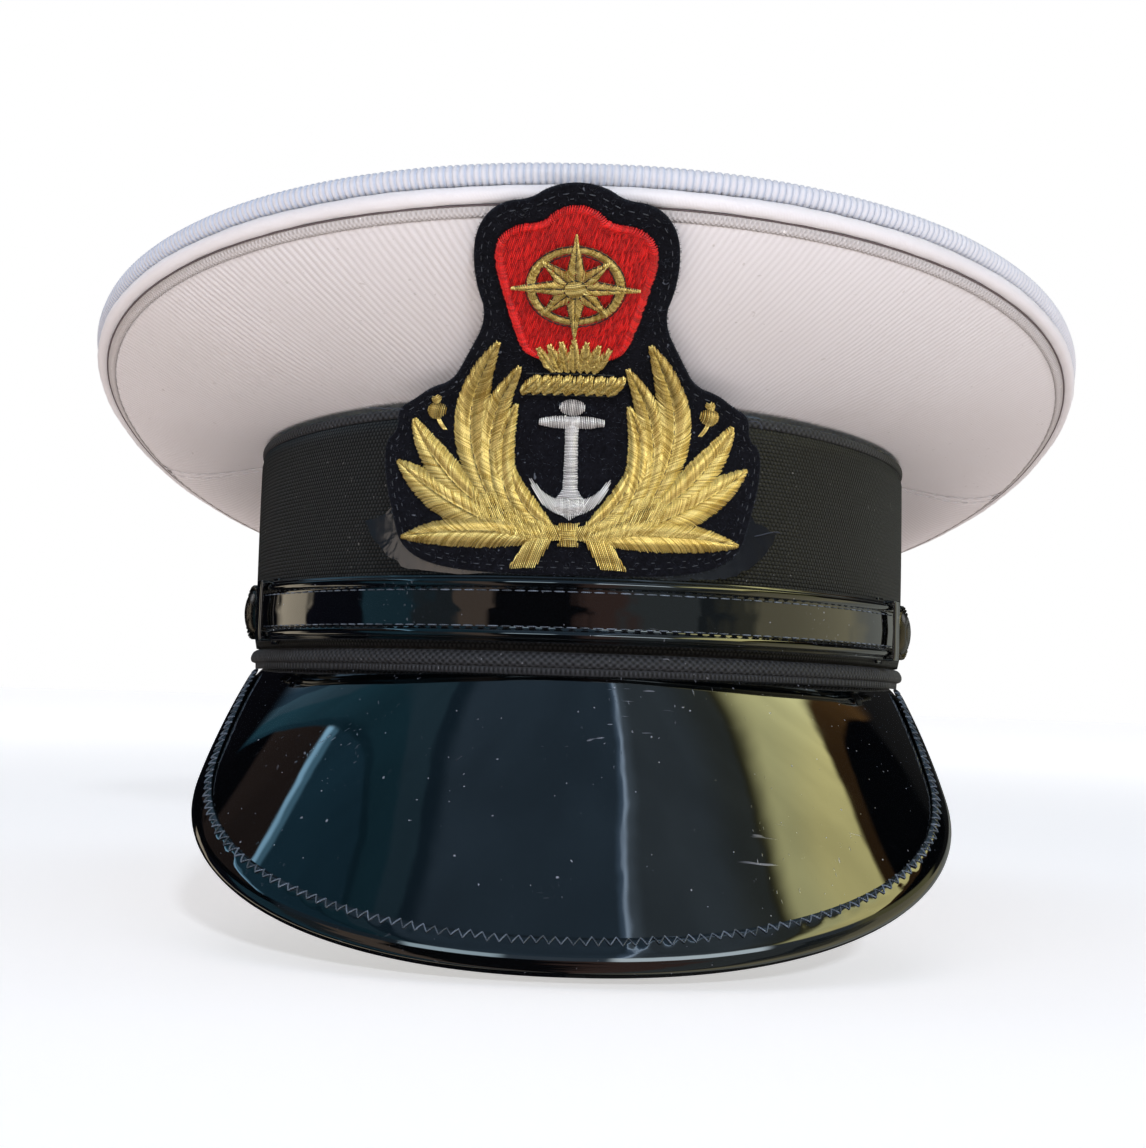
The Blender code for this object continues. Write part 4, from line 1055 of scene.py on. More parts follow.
def crown_edges():
    def smooth_cord(run, a):
        return PIPING_R + 0.05 * math.sin(run * 0.21) + 0.03 * math.sin(run * 0.83 + 2.0 * a)

    rim_tape()
    rim_tube("crown_piping_cord", PIPING_AT, smooth_cord, EDGE_STATIONS, 20, piping_cloth(),
             ("crown_piping",))

    count = 5400
    _, total = rim_stations(4)
    ribs = round(total / ROLL_PITCH)

    def corded(run, a):
        rib = abs(math.sin(math.pi * run * ribs / total))
        return ROLL_R + 0.13 - 0.34 * (1.0 - rib) ** 1.6

    rim_tube("crown_edge_roll_cord", ROLL_AT, corded, count, 12, roll_cloth(),
             ("crown_edge_roll",))


# ----------------------------------------------------------------- band
def oval_stations(count):
    """Normal directions round the oval, evenly spaced by length."""
    dense = 1440
    angles = [math.radians(-90.0 + 360.0 * i / dense) for i in range(dense + 1)]
    run = flat_runs([oval(a) for a in angles])
    out = []
    for i in range(count):
        want = run[-1] * i / count
        k, f = locate(run, want)
        out.append((angles[k] + (angles[k + 1] - angles[k]) * f, want))
    return out, run[-1]


def band_ring(name, section, mat, nodes, count=480, shape=None):
    """Sweep an (offset, height) section round the oval, uv in millimetres."""
    stations, total = oval_stations(count)
    lift = flat_runs(section + section[:1])
    rings = []
    for phi, run in stations:
        ring = []
        for off, z in section:
            extra = shape(run, z) if shape else 0.0
            ring.append(Vector((*oval(phi, off + extra), z)))
        rings.append(ring)

    def uv(i, j):
        return total * i / count, lift[j]

    return loft(name, rings, mat, uv, close_rows=True, close_cols=True, nodes=nodes, closed=True)


def band():
    low, high = BAND_LOW.z, BAND_HIGH.z
    steps = 24
    face = [(0.10 * math.sin(math.pi * i / steps) ** 0.5, low + (high - low) * i / steps)
            for i in range(steps + 1)]
    back = [(-0.9, high - 0.1), (-0.9, low + 0.1)]
    section = [(-0.35, low)] + face[1:-1] + [(-0.35, high)] + back

    def drift(run, z):
        return 0.10 * math.sin(run * 0.05 + z * 0.08) + 0.05 * math.sin(run * 0.17)

    band_ring("cap_band_braid", section, braid_cloth(), ("cap_band",), shape=drift)
    top = smooth_loop([(-1.0, 50.7), (-0.1, 50.6), (0.12, 51.4), (-0.05, 52.35), (-1.0, 52.5)], 4)
    band_ring("band_top_welt_cloth", [tuple(p) for p in top], WELT, ("band_top_welt",))
    low_welt = smooth_loop([(-0.9, -1.35), (0.3, -1.4), (0.75, -0.6), (0.62, 0.3), (0.0, 1.25),
                            (-0.9, 1.4)], 4)

    def lumps(run, z):
        return 0.04 * math.sin(run * 1.1 + z) + 0.03 * math.sin(run * 0.37)

    band_ring("band_bottom_welt_cloth", [tuple(p) for p in low_welt], WELT,
              ("band_bottom_welt",), count=900, shape=lumps)


def interior():
    """Sweatband, its stitching and lining: seen from below."""
    low, high = box_mm("sweatband")
    skin = leather("sweatband_leather", (0.10, 0.045, 0.02), (0.21, 0.105, 0.05))
    section = [(-4.75, low.z), (-4.55, low.z + 0.4)]
    section += [(-4.6 - 0.10 * math.sin(i * 0.9), low.z + 2.0 + (high.z - low.z - 3.0) * i / 14)
                for i in range(15)]
    section += [(-4.75, high.z), (-5.2, high.z), (-5.5, high.z - 0.6)]
    section += [(-5.5, low.z + 2.0 + (high.z - low.z - 3.0) * i / 14) for i in range(14, -1, -1)]
    section += [(-5.5, low.z + 0.5), (-5.2, low.z)]

    def curl(run, z):
        share = (z - low.z) / (high.z - low.z)
        return -(0.35 * math.sin(run * 0.11) + 0.2 * math.sin(run * 0.043)) * max(0.0, share)

    band_ring("sweatband_leather", section, skin, ("sweatband",), shape=curl)
    stitch = Threads()
    stations, total = oval_stations(190)
    for phi, run in stations:
        for z, off in ((low.z + 3.0, -5.62), (high.z - 2.2, -5.85)):
            path = []
            for k in range(4):
                turn = phi + math.radians(0.55) * k / 3
                path.append(Vector((*oval(turn, off - 0.1 - 0.08 * (k in (1, 2))), z)))
            inward = Vector((-math.cos(phi), -math.sin(phi), 0.0))
            stitch.add(path, 0.16, lambda _: inward)
    stitch.piece("sweatband_stitching", THREAD_TAN)

    cols, rings = 240, 44
    grid = []
    for j in range(rings + 1):
        s = j / rings
        row = []
        for i in range(cols):
            phi = 2.0 * math.pi * i / cols
            x, y = oval(phi, -2.95)
            if s < 0.18:
                z, ratio = 42.0 + 9.0 * s / 0.18, 1.0
            else:
                f = (s - 0.18) / 0.82
                ratio = 1.0 - f
                z = 51.0 + 11.0 * (1.0 - ratio ** 4)
            fold = math.sin(phi * 40.0 + 2.0 * math.sin(phi * 5.0))
            z += 0.35 * fold * min(1.0, 6.0 * (1.0 - ratio)) * ratio
            row.append(Vector((x * max(ratio, 0.004), y * max(ratio, 0.004), z)))
        grid.append(row)

    def uv(i, j):
        return 500.0 * j / cols, 100.0 * i / rings

    lining = satin("lining_satin", (0.50, 0.50, 0.53), (0.66, 0.66, 0.70))
    obj = loft("crown_lining_satin", grid, lining, uv, close_cols=True, nodes=("crown_lining",),
               facing=(0, 0, -5000))
    thicken(obj, 0.35)


# ---------------------------------------------------------------- visor
def visor_rows(columns, rows, drop, trim=0.0, first=0.0):
    lines = []
    for j in range(rows + 1):
        w = first + (1.0 - trim - first) * j / rows
        line = []
        for i in range(columns + 1):
            s = (1.0 - trim) * (2.0 * i / columns - 1.0)
            spot = visor_point(s, w)
            if drop:
                step = 0.01
                across = visor_point(min(1.0, s + step), w) - visor_point(max(-1.0, s - step), w)
                ahead = visor_point(s, min(1.0, w + step)) - visor_point(s, max(0.0, w - step))
                normal = ahead.cross(across).normalized()
                if normal.z < 0.0:
                    normal = -normal
                spot = spot - normal * drop
            line.append(spot)
        lines.append(line)
    return lines


def visor():
    def sheet_uv(i, j):
        return j * 1.1, i * 1.2

    skin = loft("visor_patent_skin", visor_rows(200, 60, 0.0), PATENT, sheet_uv,
                nodes=("visor_skin",), facing=(0, -3000, 3000))
    thicken(skin, VISOR_SKIN)
    under = coarse_cloth("underlining_cloth", (0.006, 0.022, 0.014), (0.022, 0.060, 0.040), 0.8)
    lining = loft("visor_underlining_cloth", visor_rows(160, 48, 2.55, 0.03), under, sheet_uv,
                  nodes=("visor_underlining",), facing=(0, -3000, 3000))
    thicken(lining, 0.4)
    seam = []
    for i in range(141):
        phi = math.radians(-165.0 + 150.0 * i / 140)
        seam.append([Vector((*oval(phi, off), z)) for off, z in
                     ((-0.25, -3.1), (-0.15, -1.2), (-1.2, -1.2), (-1.2, -3.1))])
    loft("visor_root_seam", seam, WELT, lambda i, j: (i * 2.1, j * 1.0), close_cols=True,
         caps=True, closed=True)
    binding()
    zigzag()


def binding():
    """Glossy strip rolled over the edge, its section smoothed."""
    columns = 420
    under = VISOR_DEPTH
    rings = []
    for i in range(columns + 1):
        s = -1.0 + 2.0 * i / columns
        edge, inward, normal = visor_edge_frame(s)
        reach = (visor_point(s, 0.0) - edge).length - 1.3
        top = min(BINDING_FLAP, reach)
        low = min(BINDING_UNDER, reach - 1.6)
        pull = 0.05 * math.sin(i * 0.9) + 0.04 * math.sin(i * 0.31)
        shape = [(top, 0.12), (top, 0.62), (top - 0.6, 0.95 + pull), (top * 0.55, 1.12),
                 (0.8, 1.1), (-0.8, 0.45), (-1.5, -0.8), (-1.5, -under + 0.2),
                 (-0.8, -under - 0.45), (0.6, -under - 0.95), (low, -under - 0.95),
                 (low, -under - 0.2), (0.0, -under - 0.1), (-0.35, -1.4), (0.0, 0.1)]
        ring = smooth_loop(shape, 3)
        rings.append([edge + inward * p.x + normal * p.y for p in ring])

    def uv(i, j):
        return i * 0.9, j * 0.5

    loft("visor_binding_roll", rings, BINDING, uv, close_cols=True, caps=True, closed=True,
         nodes=("visor_binding",))


def zigzag():
    """Zigzag seam where the binding's flap meets the visor."""
    stitch = Threads()
    length = 2.0 * EDGE_LENGTHS[-1]
    count = int(length / 1.15)
    ends = []
    for i in range(count + 1):
        s = -1.0 + 2.0 * i / count
        edge, inward, normal = visor_edge_frame(s)
        reach = (visor_point(s, 0.0) - edge).length - 1.3
        flap = min(BINDING_FLAP, reach)
        over = (flap - 1.25 if i % 2 else flap + 0.35) + RNG.uniform(-0.18, 0.18)
        lift = 1.18 if i % 2 else 0.42
        ends.append((edge + inward * over + normal * lift, normal))
    for (p, n), (q, _) in zip(ends[:-1], ends[1:]):
        path = []
        for k in range(5):
            f = k / 4
            path.append(p.lerp(q, f) + n * (0.20 * math.sin(math.pi * f)))
        stitch.add(path, 0.17, lambda _: n, taper=0.8)
    stitch.piece("visor_zigzag_stitching", THREAD_NIGHT)


# ------------------------------------------------------- strap and buttons
def arc_angles(end, count):
    """Normal directions across the front, from end degrees off one side to the other."""
    start, stop = 180.0 + end, 360.0 - end
    return [math.radians(start + (stop - start) * i / count) for i in range(count + 1)]


def strap():
    half = STRAP_HALF
    face = [(2.35, -half + 0.1), (3.2, -half), (4.0, -half + 0.25), (4.25, -half + 0.9),
            (3.95, -half + 1.55), (3.42, -half + 2.05), (3.40, -half + 3.2), (3.5, 0.0),
            (3.40, half - 3.2), (3.42, half - 2.05), (3.95, half - 1.55), (4.25, half - 0.9),
            (4.0, half - 0.25), (3.2, half), (2.35, half - 0.1)]
    ring = smooth_loop(face, 3)
    rings = []
    angles = arc_angles(STRAP_FRONT_END, 300)
    for index, phi in enumerate(angles):
        bow = 0.10 * math.sin(index * 0.045 + 0.7) + 0.05 * math.sin(index * 0.13)
        rings.append([Vector((*oval(phi, p.x + 0.4 * bow * (p.x > 3.0)), STRAP_Z + p.y))
                      for p in ring])

    def uv(i, j):
        return oval_run(angles[min(i, len(angles) - 1)]), j * 0.5

    loft("chin_strap_front_patent", rings, PATENT_STRAP, uv, close_cols=True, caps=True,
         body="chin_strap", closed=True, nodes=("chin_strap_front",))
    stitch = Threads()
    pitch = 2.55
    for z in (half - 2.45, 2.45 - half):
        run, stop = oval_run(angles[0]) + 2.0, oval_run(angles[-1]) - 2.0
        lookup = [oval_run(a) for a in angles]
        while run < stop:
            path = []
            for k in range(5):
                want = run + (pitch - 0.55) * k / 4
                i, f = locate(lookup, want)
                phi = angles[i] + (angles[i + 1] - angles[i]) * f
                off = 3.46 + 0.16 * math.sin(math.pi * k / 4)
                path.append(Vector((*oval(phi, off), STRAP_Z + z)))
            normal = Vector((math.cos(phi), math.sin(phi), 0.0))
            stitch.add(path, 0.17, lambda _: normal, taper=0.5)
            run += pitch
    stitch.piece("chin_strap_stitching", THREAD_NIGHT, body="chin_strap")


def keeper(side, word):
    """Leather loop round the strap, edges rounded, with two pressed lines."""
    phi = side_phi(side, KEEPER_ANGLE)
    out = Vector((math.cos(phi), math.sin(phi), 0.0))
    along = Vector((-math.sin(phi), math.cos(phi), 0.0))
    base = Vector((*oval(phi), STRAP_Z))
    low, high, reach = KEEPER_INNER, KEEPER_OUTER, KEEPER_REACH
    path = [(low + 0.25, -reach), (high - 0.8, -reach), (high, 0.8 - reach), (high + 0.05, 0.0),
            (high, reach - 0.8), (high - 0.8, reach), (low + 0.25, reach), (low, reach - 0.3),
            (low, 0.3 - reach)]
    loop = smooth_loop(path, 5)
    section = smooth_loop([(-0.50, -0.02), (-0.44, 0.26), (-0.25, 0.34), (0.0, 0.28), (0.25, 0.34),
                           (0.44, 0.26), (0.50, -0.02), (0.42, -0.30), (-0.42, -0.30)], 2)
    middle = Vector((0.5 * (low + high), 0.0))
    rings = []
    for i, spot in enumerate(loop):
        ahead = loop[(i + 1) % len(loop)] - loop[i - 1]
        outward = Vector((ahead.y, -ahead.x)).normalized()
        if outward.dot(spot - middle) < 0.0:
            outward = -outward
        ring = []
        for p in section:
            flat = spot + outward * (p.y - 0.36)
            ring.append(base + out * flat.x + UP * flat.y + along * KEEPER_WIDTH * p.x)
        rings.append(ring)

    def uv(i, j):
        return i * 0.4, j * 0.3

    loft(word + "_keeper_loop", rings, PATENT_STRAP, uv, close_rows=True, close_cols=True,
         body=word + "_keeper", closed=True, nodes=(word + "_keeper",))


def button(side, word):
    """Domed button turned about its shank, with a rope-twist rim."""
    phi = side_phi(side, BUTTON_ANGLE)
    out = Vector((math.cos(phi), math.sin(phi), 0.0))
    along = Vector((-math.sin(phi), math.cos(phi), 0.0))
    foot = Vector((*oval(phi), STRAP_Z))
    profile = [(0.0, 5.38), (0.8, 5.36), (1.6, 5.28), (2.2, 5.16), (2.5, 4.98), (2.8, 5.02),
               (3.4, 4.85), (4.2, 4.5), (4.9, 4.05), (5.15, 3.72), (5.3, 3.45), (5.3, 2.9),
               (5.0, 2.65), (2.4, 2.6), (1.15, 2.6), (1.15, -1.0)]
    turns = 64
    rings = []
    for radius, height in profile:
        ring = []
        for k in range(turns):
            a = 2.0 * math.pi * k / turns
            r = max(radius, 0.01)
            ring.append(foot + out * height + (along * math.cos(a) + UP * math.sin(a)) * r)
        rings.append(ring)

    def uv(i, j):
        return j * 0.5, i * 0.5

    loft(word + "_button_dome", rings, BUTTON_METAL, uv, close_cols=True, caps=True, closed=True,
         body=word + "_button", nodes=(word + "_button",))
    rope = Threads(sides=6)
    strands = 26
    for i in range(strands):
        path = []
        for k in range(7):
            a = 2.0 * math.pi * (i + 1.9 * k / 6) / strands
            roll = -0.9 + 1.8 * k / 6
            r = BUTTON_R - 0.78 + 0.46 * math.cos(roll * 1.4)
            height = 3.25 + 0.58 * math.sin(roll * 1.4)
            path.append(foot + out * height + (along * math.cos(a) + UP * math.sin(a)) * r)
        rope.add(path, 0.34, lambda _: out, taper=0.75)
    rope.piece(word + "_button_rope_rim", BUTTON_METAL, body=word + "_button")


# ---------------------------------------------------------------- badge
PATCH_HALF = [(0.0, 87.0), (5.0, 86.0), (8.6, 83.3), (13.4, 82.9), (17.0, 80.2), (19.2, 75.0),
              (19.2, 66.0), (16.8, 56.8), (21.6, 46.5), (24.6, 40.6), (29.5, 39.0), (33.0, 36.4),
              (36.6, 34.6), (36.6, 29.6), (39.6, 27.4), (39.4, 20.0), (37.0, 11.0), (35.6, 6.2),
              (31.5, 2.6), (24.0, 0.5), (12.0, -0.3), (0.0, -0.4)]
RED_HALF = [(0.0, 83.0), (3.6, 81.8), (6.0, 78.8), (10.6, 78.6), (14.0, 76.2), (14.9, 71.6),
            (13.4, 63.8), (11.2, 54.4), (9.2, 48.0), (0.0, 46.6)]
FILM_HALF = [(0.0, 14.0), (20.0, 16.0), (36.0, 16.0), (39.5, 12.2), (44.6, 10.6), (42.0, 6.2),
             (39.0, 3.4), (34.0, 0.6), (22.0, -0.5), (0.0, 1.0)]
LEAVES = (
    ((5.0, 7.3), (20.0, 9.0), (34.5, 7.0), 6.2),
    ((15.5, 9.8), (26.0, 14.0), (36.0, 22.8), 7.0),
    ((16.0, 12.0), (27.5, 19.5), (32.6, 32.4), 6.4),
    ((15.5, 14.0), (25.5, 31.0), (14.6, 51.6), 7.0),
    ((13.0, 13.0), (20.5, 27.0), (10.4, 45.4), 6.0),
    ((9.5, 10.5), (17.5, 21.0), (11.0, 35.6), 5.4),
    ((3.0, 8.8), (10.8, 12.0), (12.4, 22.8), 4.8),
)
YARN = 0.17
YARN_STEP = 0.34


def badge_yarn(threads, flat, radius=YARN, taper=0.6):
    """Lay one thread along flat (u, v, w) points."""
    path = [badge_map(*p) for p in flat]
    middle = flat[len(flat) // 2]
    normal = (badge_map(middle[0], middle[1], 1.0) - badge_map(middle[0], middle[1], 0.0))
    threads.add(path, radius, lambda _: normal, taper)


def plate(name, outline, low, high, mat, edge=0.0, pitch=2.0, **kw):
    """Flat badge plate with a rounded edge, sliced finely and bent onto the cap."""
    curve = bpy.data.curves.new(name + "_outline", "CURVE")
    curve.dimensions = "2D"
    curve.fill_mode = "BOTH"
    curve.extrude = 0.5 * (high - low) - edge
    curve.bevel_depth = edge
    curve.bevel_resolution = 3
    curve.offset = -edge
    spline = curve.splines.new("POLY")
    spline.points.add(len(outline) - 1)
    for spot, (u, v) in zip(spline.points, outline):
        spot.co = (u, v, 0.0, 1.0)
    spline.use_cyclic_u = True
    holder = bpy.data.objects.new(name + "_outline", curve)
    bpy.context.scene.collection.objects.link(holder)
    graph = bpy.context.evaluated_depsgraph_get()
    mesh = bpy.data.meshes.new_from_object(holder.evaluated_get(graph))
    bpy.data.objects.remove(holder, do_unlink=True)
    bpy.data.curves.remove(curve)
    work = bmesh.new()
    work.from_mesh(mesh)
    bmesh.ops.remove_doubles(work, verts=work.verts, dist=0.0005)
    us = [p[0] for p in outline]
    vs = [p[1] for p in outline]
    for values, axis in ((us, (1.0, 0.0, 0.0)), (vs, (0.0, 1.0, 0.0))):
        spot = min(values) + 0.5 * pitch
        while spot < max(values):
            geom = work.verts[:] + work.edges[:] + work.faces[:]
            bmesh.ops.bisect_plane(work, geom=geom, dist=1e-4,
                                   plane_co=(Vector(axis) * spot), plane_no=axis)
            spot += pitch
    bmesh.ops.triangulate(work, faces=[f for f in work.faces if len(f.verts) > 4])
    middle = 0.5 * (low + high)
    for vert in work.verts:
        u, v, w = vert.co
        vert.co = framed(badge_map(u, v, w + middle))
    bmesh.ops.recalc_face_normals(work, faces=work.faces)
    if work.calc_volume(signed=True) < 0.0:
        bmesh.ops.reverse_faces(work, faces=work.faces)
    work.to_mesh(mesh)
    work.free()
    mesh.materials.clear()
    mesh.materials.append(mat)
    mesh.polygons.foreach_set("use_smooth", [True] * len(mesh.polygons))
    return finish_piece(bpy.data.objects.new(name, mesh), kw.get("body", "cap"),
                        kw.get("nodes", ()))


def inside(outline, u, v):
    hit = False
    for (u0, v0), (u1, v1) in zip(outline, outline[1:] + outline[:1]):
        if (v0 > v) != (v1 > v) and u < u0 + (v - v0) * (u1 - u0) / (v1 - v0):
            hit = not hit
    return hit


def inset(outline, distance):
    """Outline moved inward along its corner bisectors."""
    area = sum(p[0] * q[1] - q[0] * p[1] for p, q in zip(outline, outline[1:] + outline[:1]))
    turn = 1.0 if area > 0.0 else -1.0
    out = []
    count = len(outline)
    for i in range(count):
        a, b, c = (Vector(outline[(i + k) % count]) for k in (-1, 0, 1))
        ahead = ((b - a).normalized() + (c - b).normalized()).normalized()
        out.append(tuple(b + Vector((-ahead.y, ahead.x)) * turn * distance))
    return out


def running_stitch(threads, outline, height, stitch, gap, radius, closed=True):
    """Dashes of thread along a flat outline."""
    loop = outline + outline[:1] if closed else outline
    run = flat_runs(loop)

    def at(want):
        i, f = locate(run, want)
        return (loop[i][0] + (loop[i + 1][0] - loop[i][0]) * f,
                loop[i][1] + (loop[i + 1][1] - loop[i][1]) * f)

    want = 0.3
    while want + stitch < run[-1]:
        flat = []
        for k in range(5):
            u, v = at(want + stitch * k / 4)
            flat.append((u, v, height + 0.14 * math.sin(math.pi * k / 4)))
        badge_yarn(threads, flat, radius)
        want += stitch + gap


def leaf_shape(base, mid, tip, width):
    """Midrib point, side direction and half width of a leaf at s."""
    base, mid, tip = Vector(base), Vector(mid), Vector(tip)

    def at(s):
        spot = base * (1 - s) ** 2 + mid * 2 * s * (1 - s) + tip * s * s
        ahead = (mid - base) * 2 * (1 - s) + (tip - mid) * 2 * s
        across = Vector((-ahead.y, ahead.x)).normalized()
        half = 0.5 * width * math.sin(math.pi * min(1.0, max(0.0, s)) ** 0.85) ** 0.65
        return spot, across, half

    return at, (mid - base).length + (tip - mid).length


def satin_leaf(threads, base, mid, tip, width, low, high):
    """Two rows of slanted threads meeting at the midrib groove."""
    at, length = leaf_shape(base, mid, tip, width)
    count = int(length / YARN_STEP)
    for side in (-1.0, 1.0):
        for i in range(count):
            s0 = (i + 0.5 * (side > 0)) / count
            _, _, half = at(s0)
            s1 = min(0.995, s0 + (0.95 * half + 0.25) / length)
            start, _, _ = at(s0)
            spot, across, reach = at(s1)
            reach = max(reach, 0.28) + RNG.uniform(-0.12, 0.22)
            finish = spot + across * side * reach
            flat = []
            for k in range(6):
                f = k / 5
                p = start.lerp(finish, f)
                dome = 0.42 + 0.58 * math.sin(math.pi * (0.12 + 0.78 * f))
                dome *= 1.0 - 0.85 * max(0.0, (f - 0.72) / 0.28) ** 1.5
                taper = min(1.0, 0.45 + 2.4 * min(s0, 1.0 - s0))
                w = low + (high - low) * dome * taper + RNG.uniform(-0.02, 0.02)
                flat.append((p.x, p.y, w))
            badge_yarn(threads, flat)


def leaf_padding(points, faces, base, mid, tip, width, low, high):
    """Closed cushion under the threads of one leaf."""
    at, _ = leaf_shape(base, mid, tip, width)
    stations, start = 14, len(points)
    for i in range(1, stations):
        spot, across, half = at(i / stations)
        for side, lift in ((-0.93, 0.0), (0.93, 0.0), (0.86, 0.45), (0.45, 0.85), (0.0, 0.62),
                           (-0.45, 0.85), (-0.86, 0.45)):
            flat = spot + across * half * side
            points.append(badge_map(flat.x, flat.y, low + (high - low) * lift))
    for i in range(stations - 2):
        a, b = start + i * 7, start + (i + 1) * 7
        for j in range(7):
            k = (j + 1) % 7
            faces.append((a + j, a + k, b + k, b + j))
    faces.append(tuple(range(start + 6, start - 1, -1)))
    faces.append(tuple(range(start + (stations - 2) * 7, start + (stations - 1) * 7)))


def satin_fill(threads, outline, angle, low, high, longest=6.0, step=YARN_STEP, dome=0.0,
               overlap=0.0):
    """Cover a flat outline with parallel threads, long rows broken at random."""
    direction = Vector((math.cos(angle), math.sin(angle)))
    across = Vector((-direction.y, direction.x))
    marks = [across.dot(Vector(p)) for p in outline]
    line = min(marks) + 0.5 * step
    edges = list(zip(outline, outline[1:] + outline[:1]))
    wide = max(marks) - min(marks)
    while line < max(marks):
        hits = []
        for p, q in edges:
            a, b = across.dot(Vector(p)) - line, across.dot(Vector(q)) - line
            if (a > 0.0) != (b > 0.0):
                f = a / (a - b)
                spot = Vector(p).lerp(Vector(q), f)
                hits.append(direction.dot(spot))
        hits.sort()
        share = (line - min(marks)) / wide
        bulge = math.sin(math.pi * share) if dome else 1.0
        for start, stop in zip(hits[0::2], hits[1::2]):
            cuts = [start - overlap]
            if stop - start > longest:
                spot = start + RNG.uniform(0.35, 1.0) * longest
                while spot < stop - 0.3 * longest:
                    cuts.append(spot)
                    spot += RNG.uniform(0.7, 1.15) * longest
            cuts.append(stop + overlap)
            for a, b in zip(cuts[:-1], cuts[1:]):
                a -= RNG.uniform(0.0, 0.14)
                b += RNG.uniform(0.0, 0.14)
                flat = []
                for k in range(5):
                    f = k / 4
                    p = direction * (a + (b - a) * f) + across * line
                    w = low + (high - low) * bulge * (0.35 + 0.65 * math.sin(math.pi * f) ** 0.6)
                    flat.append((p.x, p.y, w))
                badge_yarn(threads, flat)
        line += step * RNG.uniform(0.92, 1.08)


def badge_patch():
    outline = rounded(mirrored(PATCH_HALF), 2)
    plate("badge_patch_felt", outline, 0.1, 1.6, FELT, edge=0.55, pitch=1.6, nodes=("badge_patch",))
    fuzz = Threads(sides=3)
    for _ in range(5200):
        u, v = RNG.uniform(-40.0, 40.0), RNG.uniform(-0.4, 87.0)
        if not inside(outline, u, v):
            continue
        turn, size = RNG.uniform(0.0, 2.0 * math.pi), RNG.uniform(0.3, 0.9)
        flat = [(u + size * f * math.cos(turn + f), v + size * f * math.sin(turn + f),
                 1.52 + 0.30 * math.sin(2.6 * f)) for f in (0.0, 0.5, 1.0)]
        badge_yarn(fuzz, flat, 0.035)
    rim = outline + outline[:1]
    for (u0, v0), (u1, v1) in zip(rim[:-1], rim[1:]):
        length = math.hypot(u1 - u0, v1 - v0)
        for _ in range(int(length * 3.2)):
            f, size = RNG.random(), RNG.uniform(0.25, 0.75)
            u, v = u0 + (u1 - u0) * f, v0 + (v1 - v0) * f
            out_u, out_v = (v1 - v0) / length, -(u1 - u0) / length
            lean = RNG.uniform(-0.7, 0.7)
            out_u, out_v = out_u - out_v * lean, out_v + out_u * lean
            w = RNG.uniform(0.4, 1.3)
            badge_yarn(fuzz, [(u - 0.3 * out_u, v - 0.3 * out_v, w), (u, v, w + 0.05),
                              (u + size * out_u * 0.6, v + size * out_v * 0.6, w + 0.15)], 0.04)
    fuzz.piece("badge_patch_fuzz", THREAD_FUZZ)
    stitches = Threads()
    running_stitch(stitches, inset(outline, 1.5), 1.52, 1.3, 1.3, 0.11)
    running_stitch(stitches, inset(outline, 2.7), 1.50, 0.8, 2.4, 0.10)
    stitches.piece("badge_patch_stitching", THREAD_DIM)


def badge_film():
    """Dark backing sheet whose torn corners stand out past the felt."""
    torn = []
    outline = mirrored(FILM_HALF)
    for (u0, v0), (u1, v1) in zip(outline, outline[1:] + outline[:1]):
        steps = max(1, int(math.hypot(u1 - u0, v1 - v0) / 1.2))
        for k in range(steps):
            f = k / steps
            rough = 0.35 if abs(u0) > 30.0 else 0.05
            torn.append((u0 + (u1 - u0) * f + RNG.uniform(-rough, rough),
                         v0 + (v1 - v0) * f + RNG.uniform(-rough, rough)))
    sheet = plate("badge_backing_film", torn, -0.25, -0.05, FILM, pitch=2.0,
                  nodes=("badge_backing",))
    sheet.data.polygons.foreach_set("use_smooth", [False] * len(sheet.data.polygons))


def badge_red():
    outline = rounded(mirrored(RED_HALF), 2)
    threads = Threads()
    satin_fill(threads, outline, math.radians(74.0), THREAD_FOOT - 0.05, 2.35, longest=4.2,
               overlap=0.15)
    border = rounded(inset(outline, 0.5), 1)
    border_satin(threads, border, 1.5, THREAD_FOOT, 2.75)
    threads.piece("badge_red_panel_thread", THREAD_RED, nodes=("badge_red_panel",))
    plate("badge_red_panel_pad", inset(outline, 0.4), 1.55, 2.05, PAD_RED)


def border_satin(threads, outline, width, low, high):
    """Short threads laid across an outline to make a raised border."""
    loop = outline + outline[:1]
    for (u0, v0), (u1, v1) in zip(loop[:-1], loop[1:]):
        length = math.hypot(u1 - u0, v1 - v0)
        if length < 1e-6:
            continue
        du, dv = (u1 - u0) / length, (v1 - v0) / length
        for k in range(max(1, round(length / YARN_STEP))):
            f = k / max(1, round(length / YARN_STEP))
            u, v = u0 + (u1 - u0) * f, v0 + (v1 - v0) * f
            reach = 0.5 * width + RNG.uniform(-0.1, 0.2)
            flat = []
            for j in range(5):
                g = -1.0 + 0.5 * j
                w = low + (high - low) * (0.3 + 0.7 * (1.0 - g * g))
                flat.append((u - dv * reach * g + du * 0.35 * g, v + du * reach * g
                             + dv * 0.35 * g, w))
            badge_yarn(threads, flat)


def star_points(centre, long_r, short_r, points=8):
    """Tip and the two valleys of each ray of a compass star."""
    rays = []
    for i in range(points):
        a = math.pi / 2.0 - 2.0 * math.pi * i / points
        reach = long_r if i % 2 == 0 else long_r * 0.72
        step = math.pi / points
        rays.append(((centre[0] + reach * math.cos(a), centre[1] + reach * math.sin(a)),
                     [(centre[0] + short_r * math.cos(a + k * step),
                       centre[1] + short_r * math.sin(a + k * step)) for k in (1.0, -1.0)], a))
    return rays


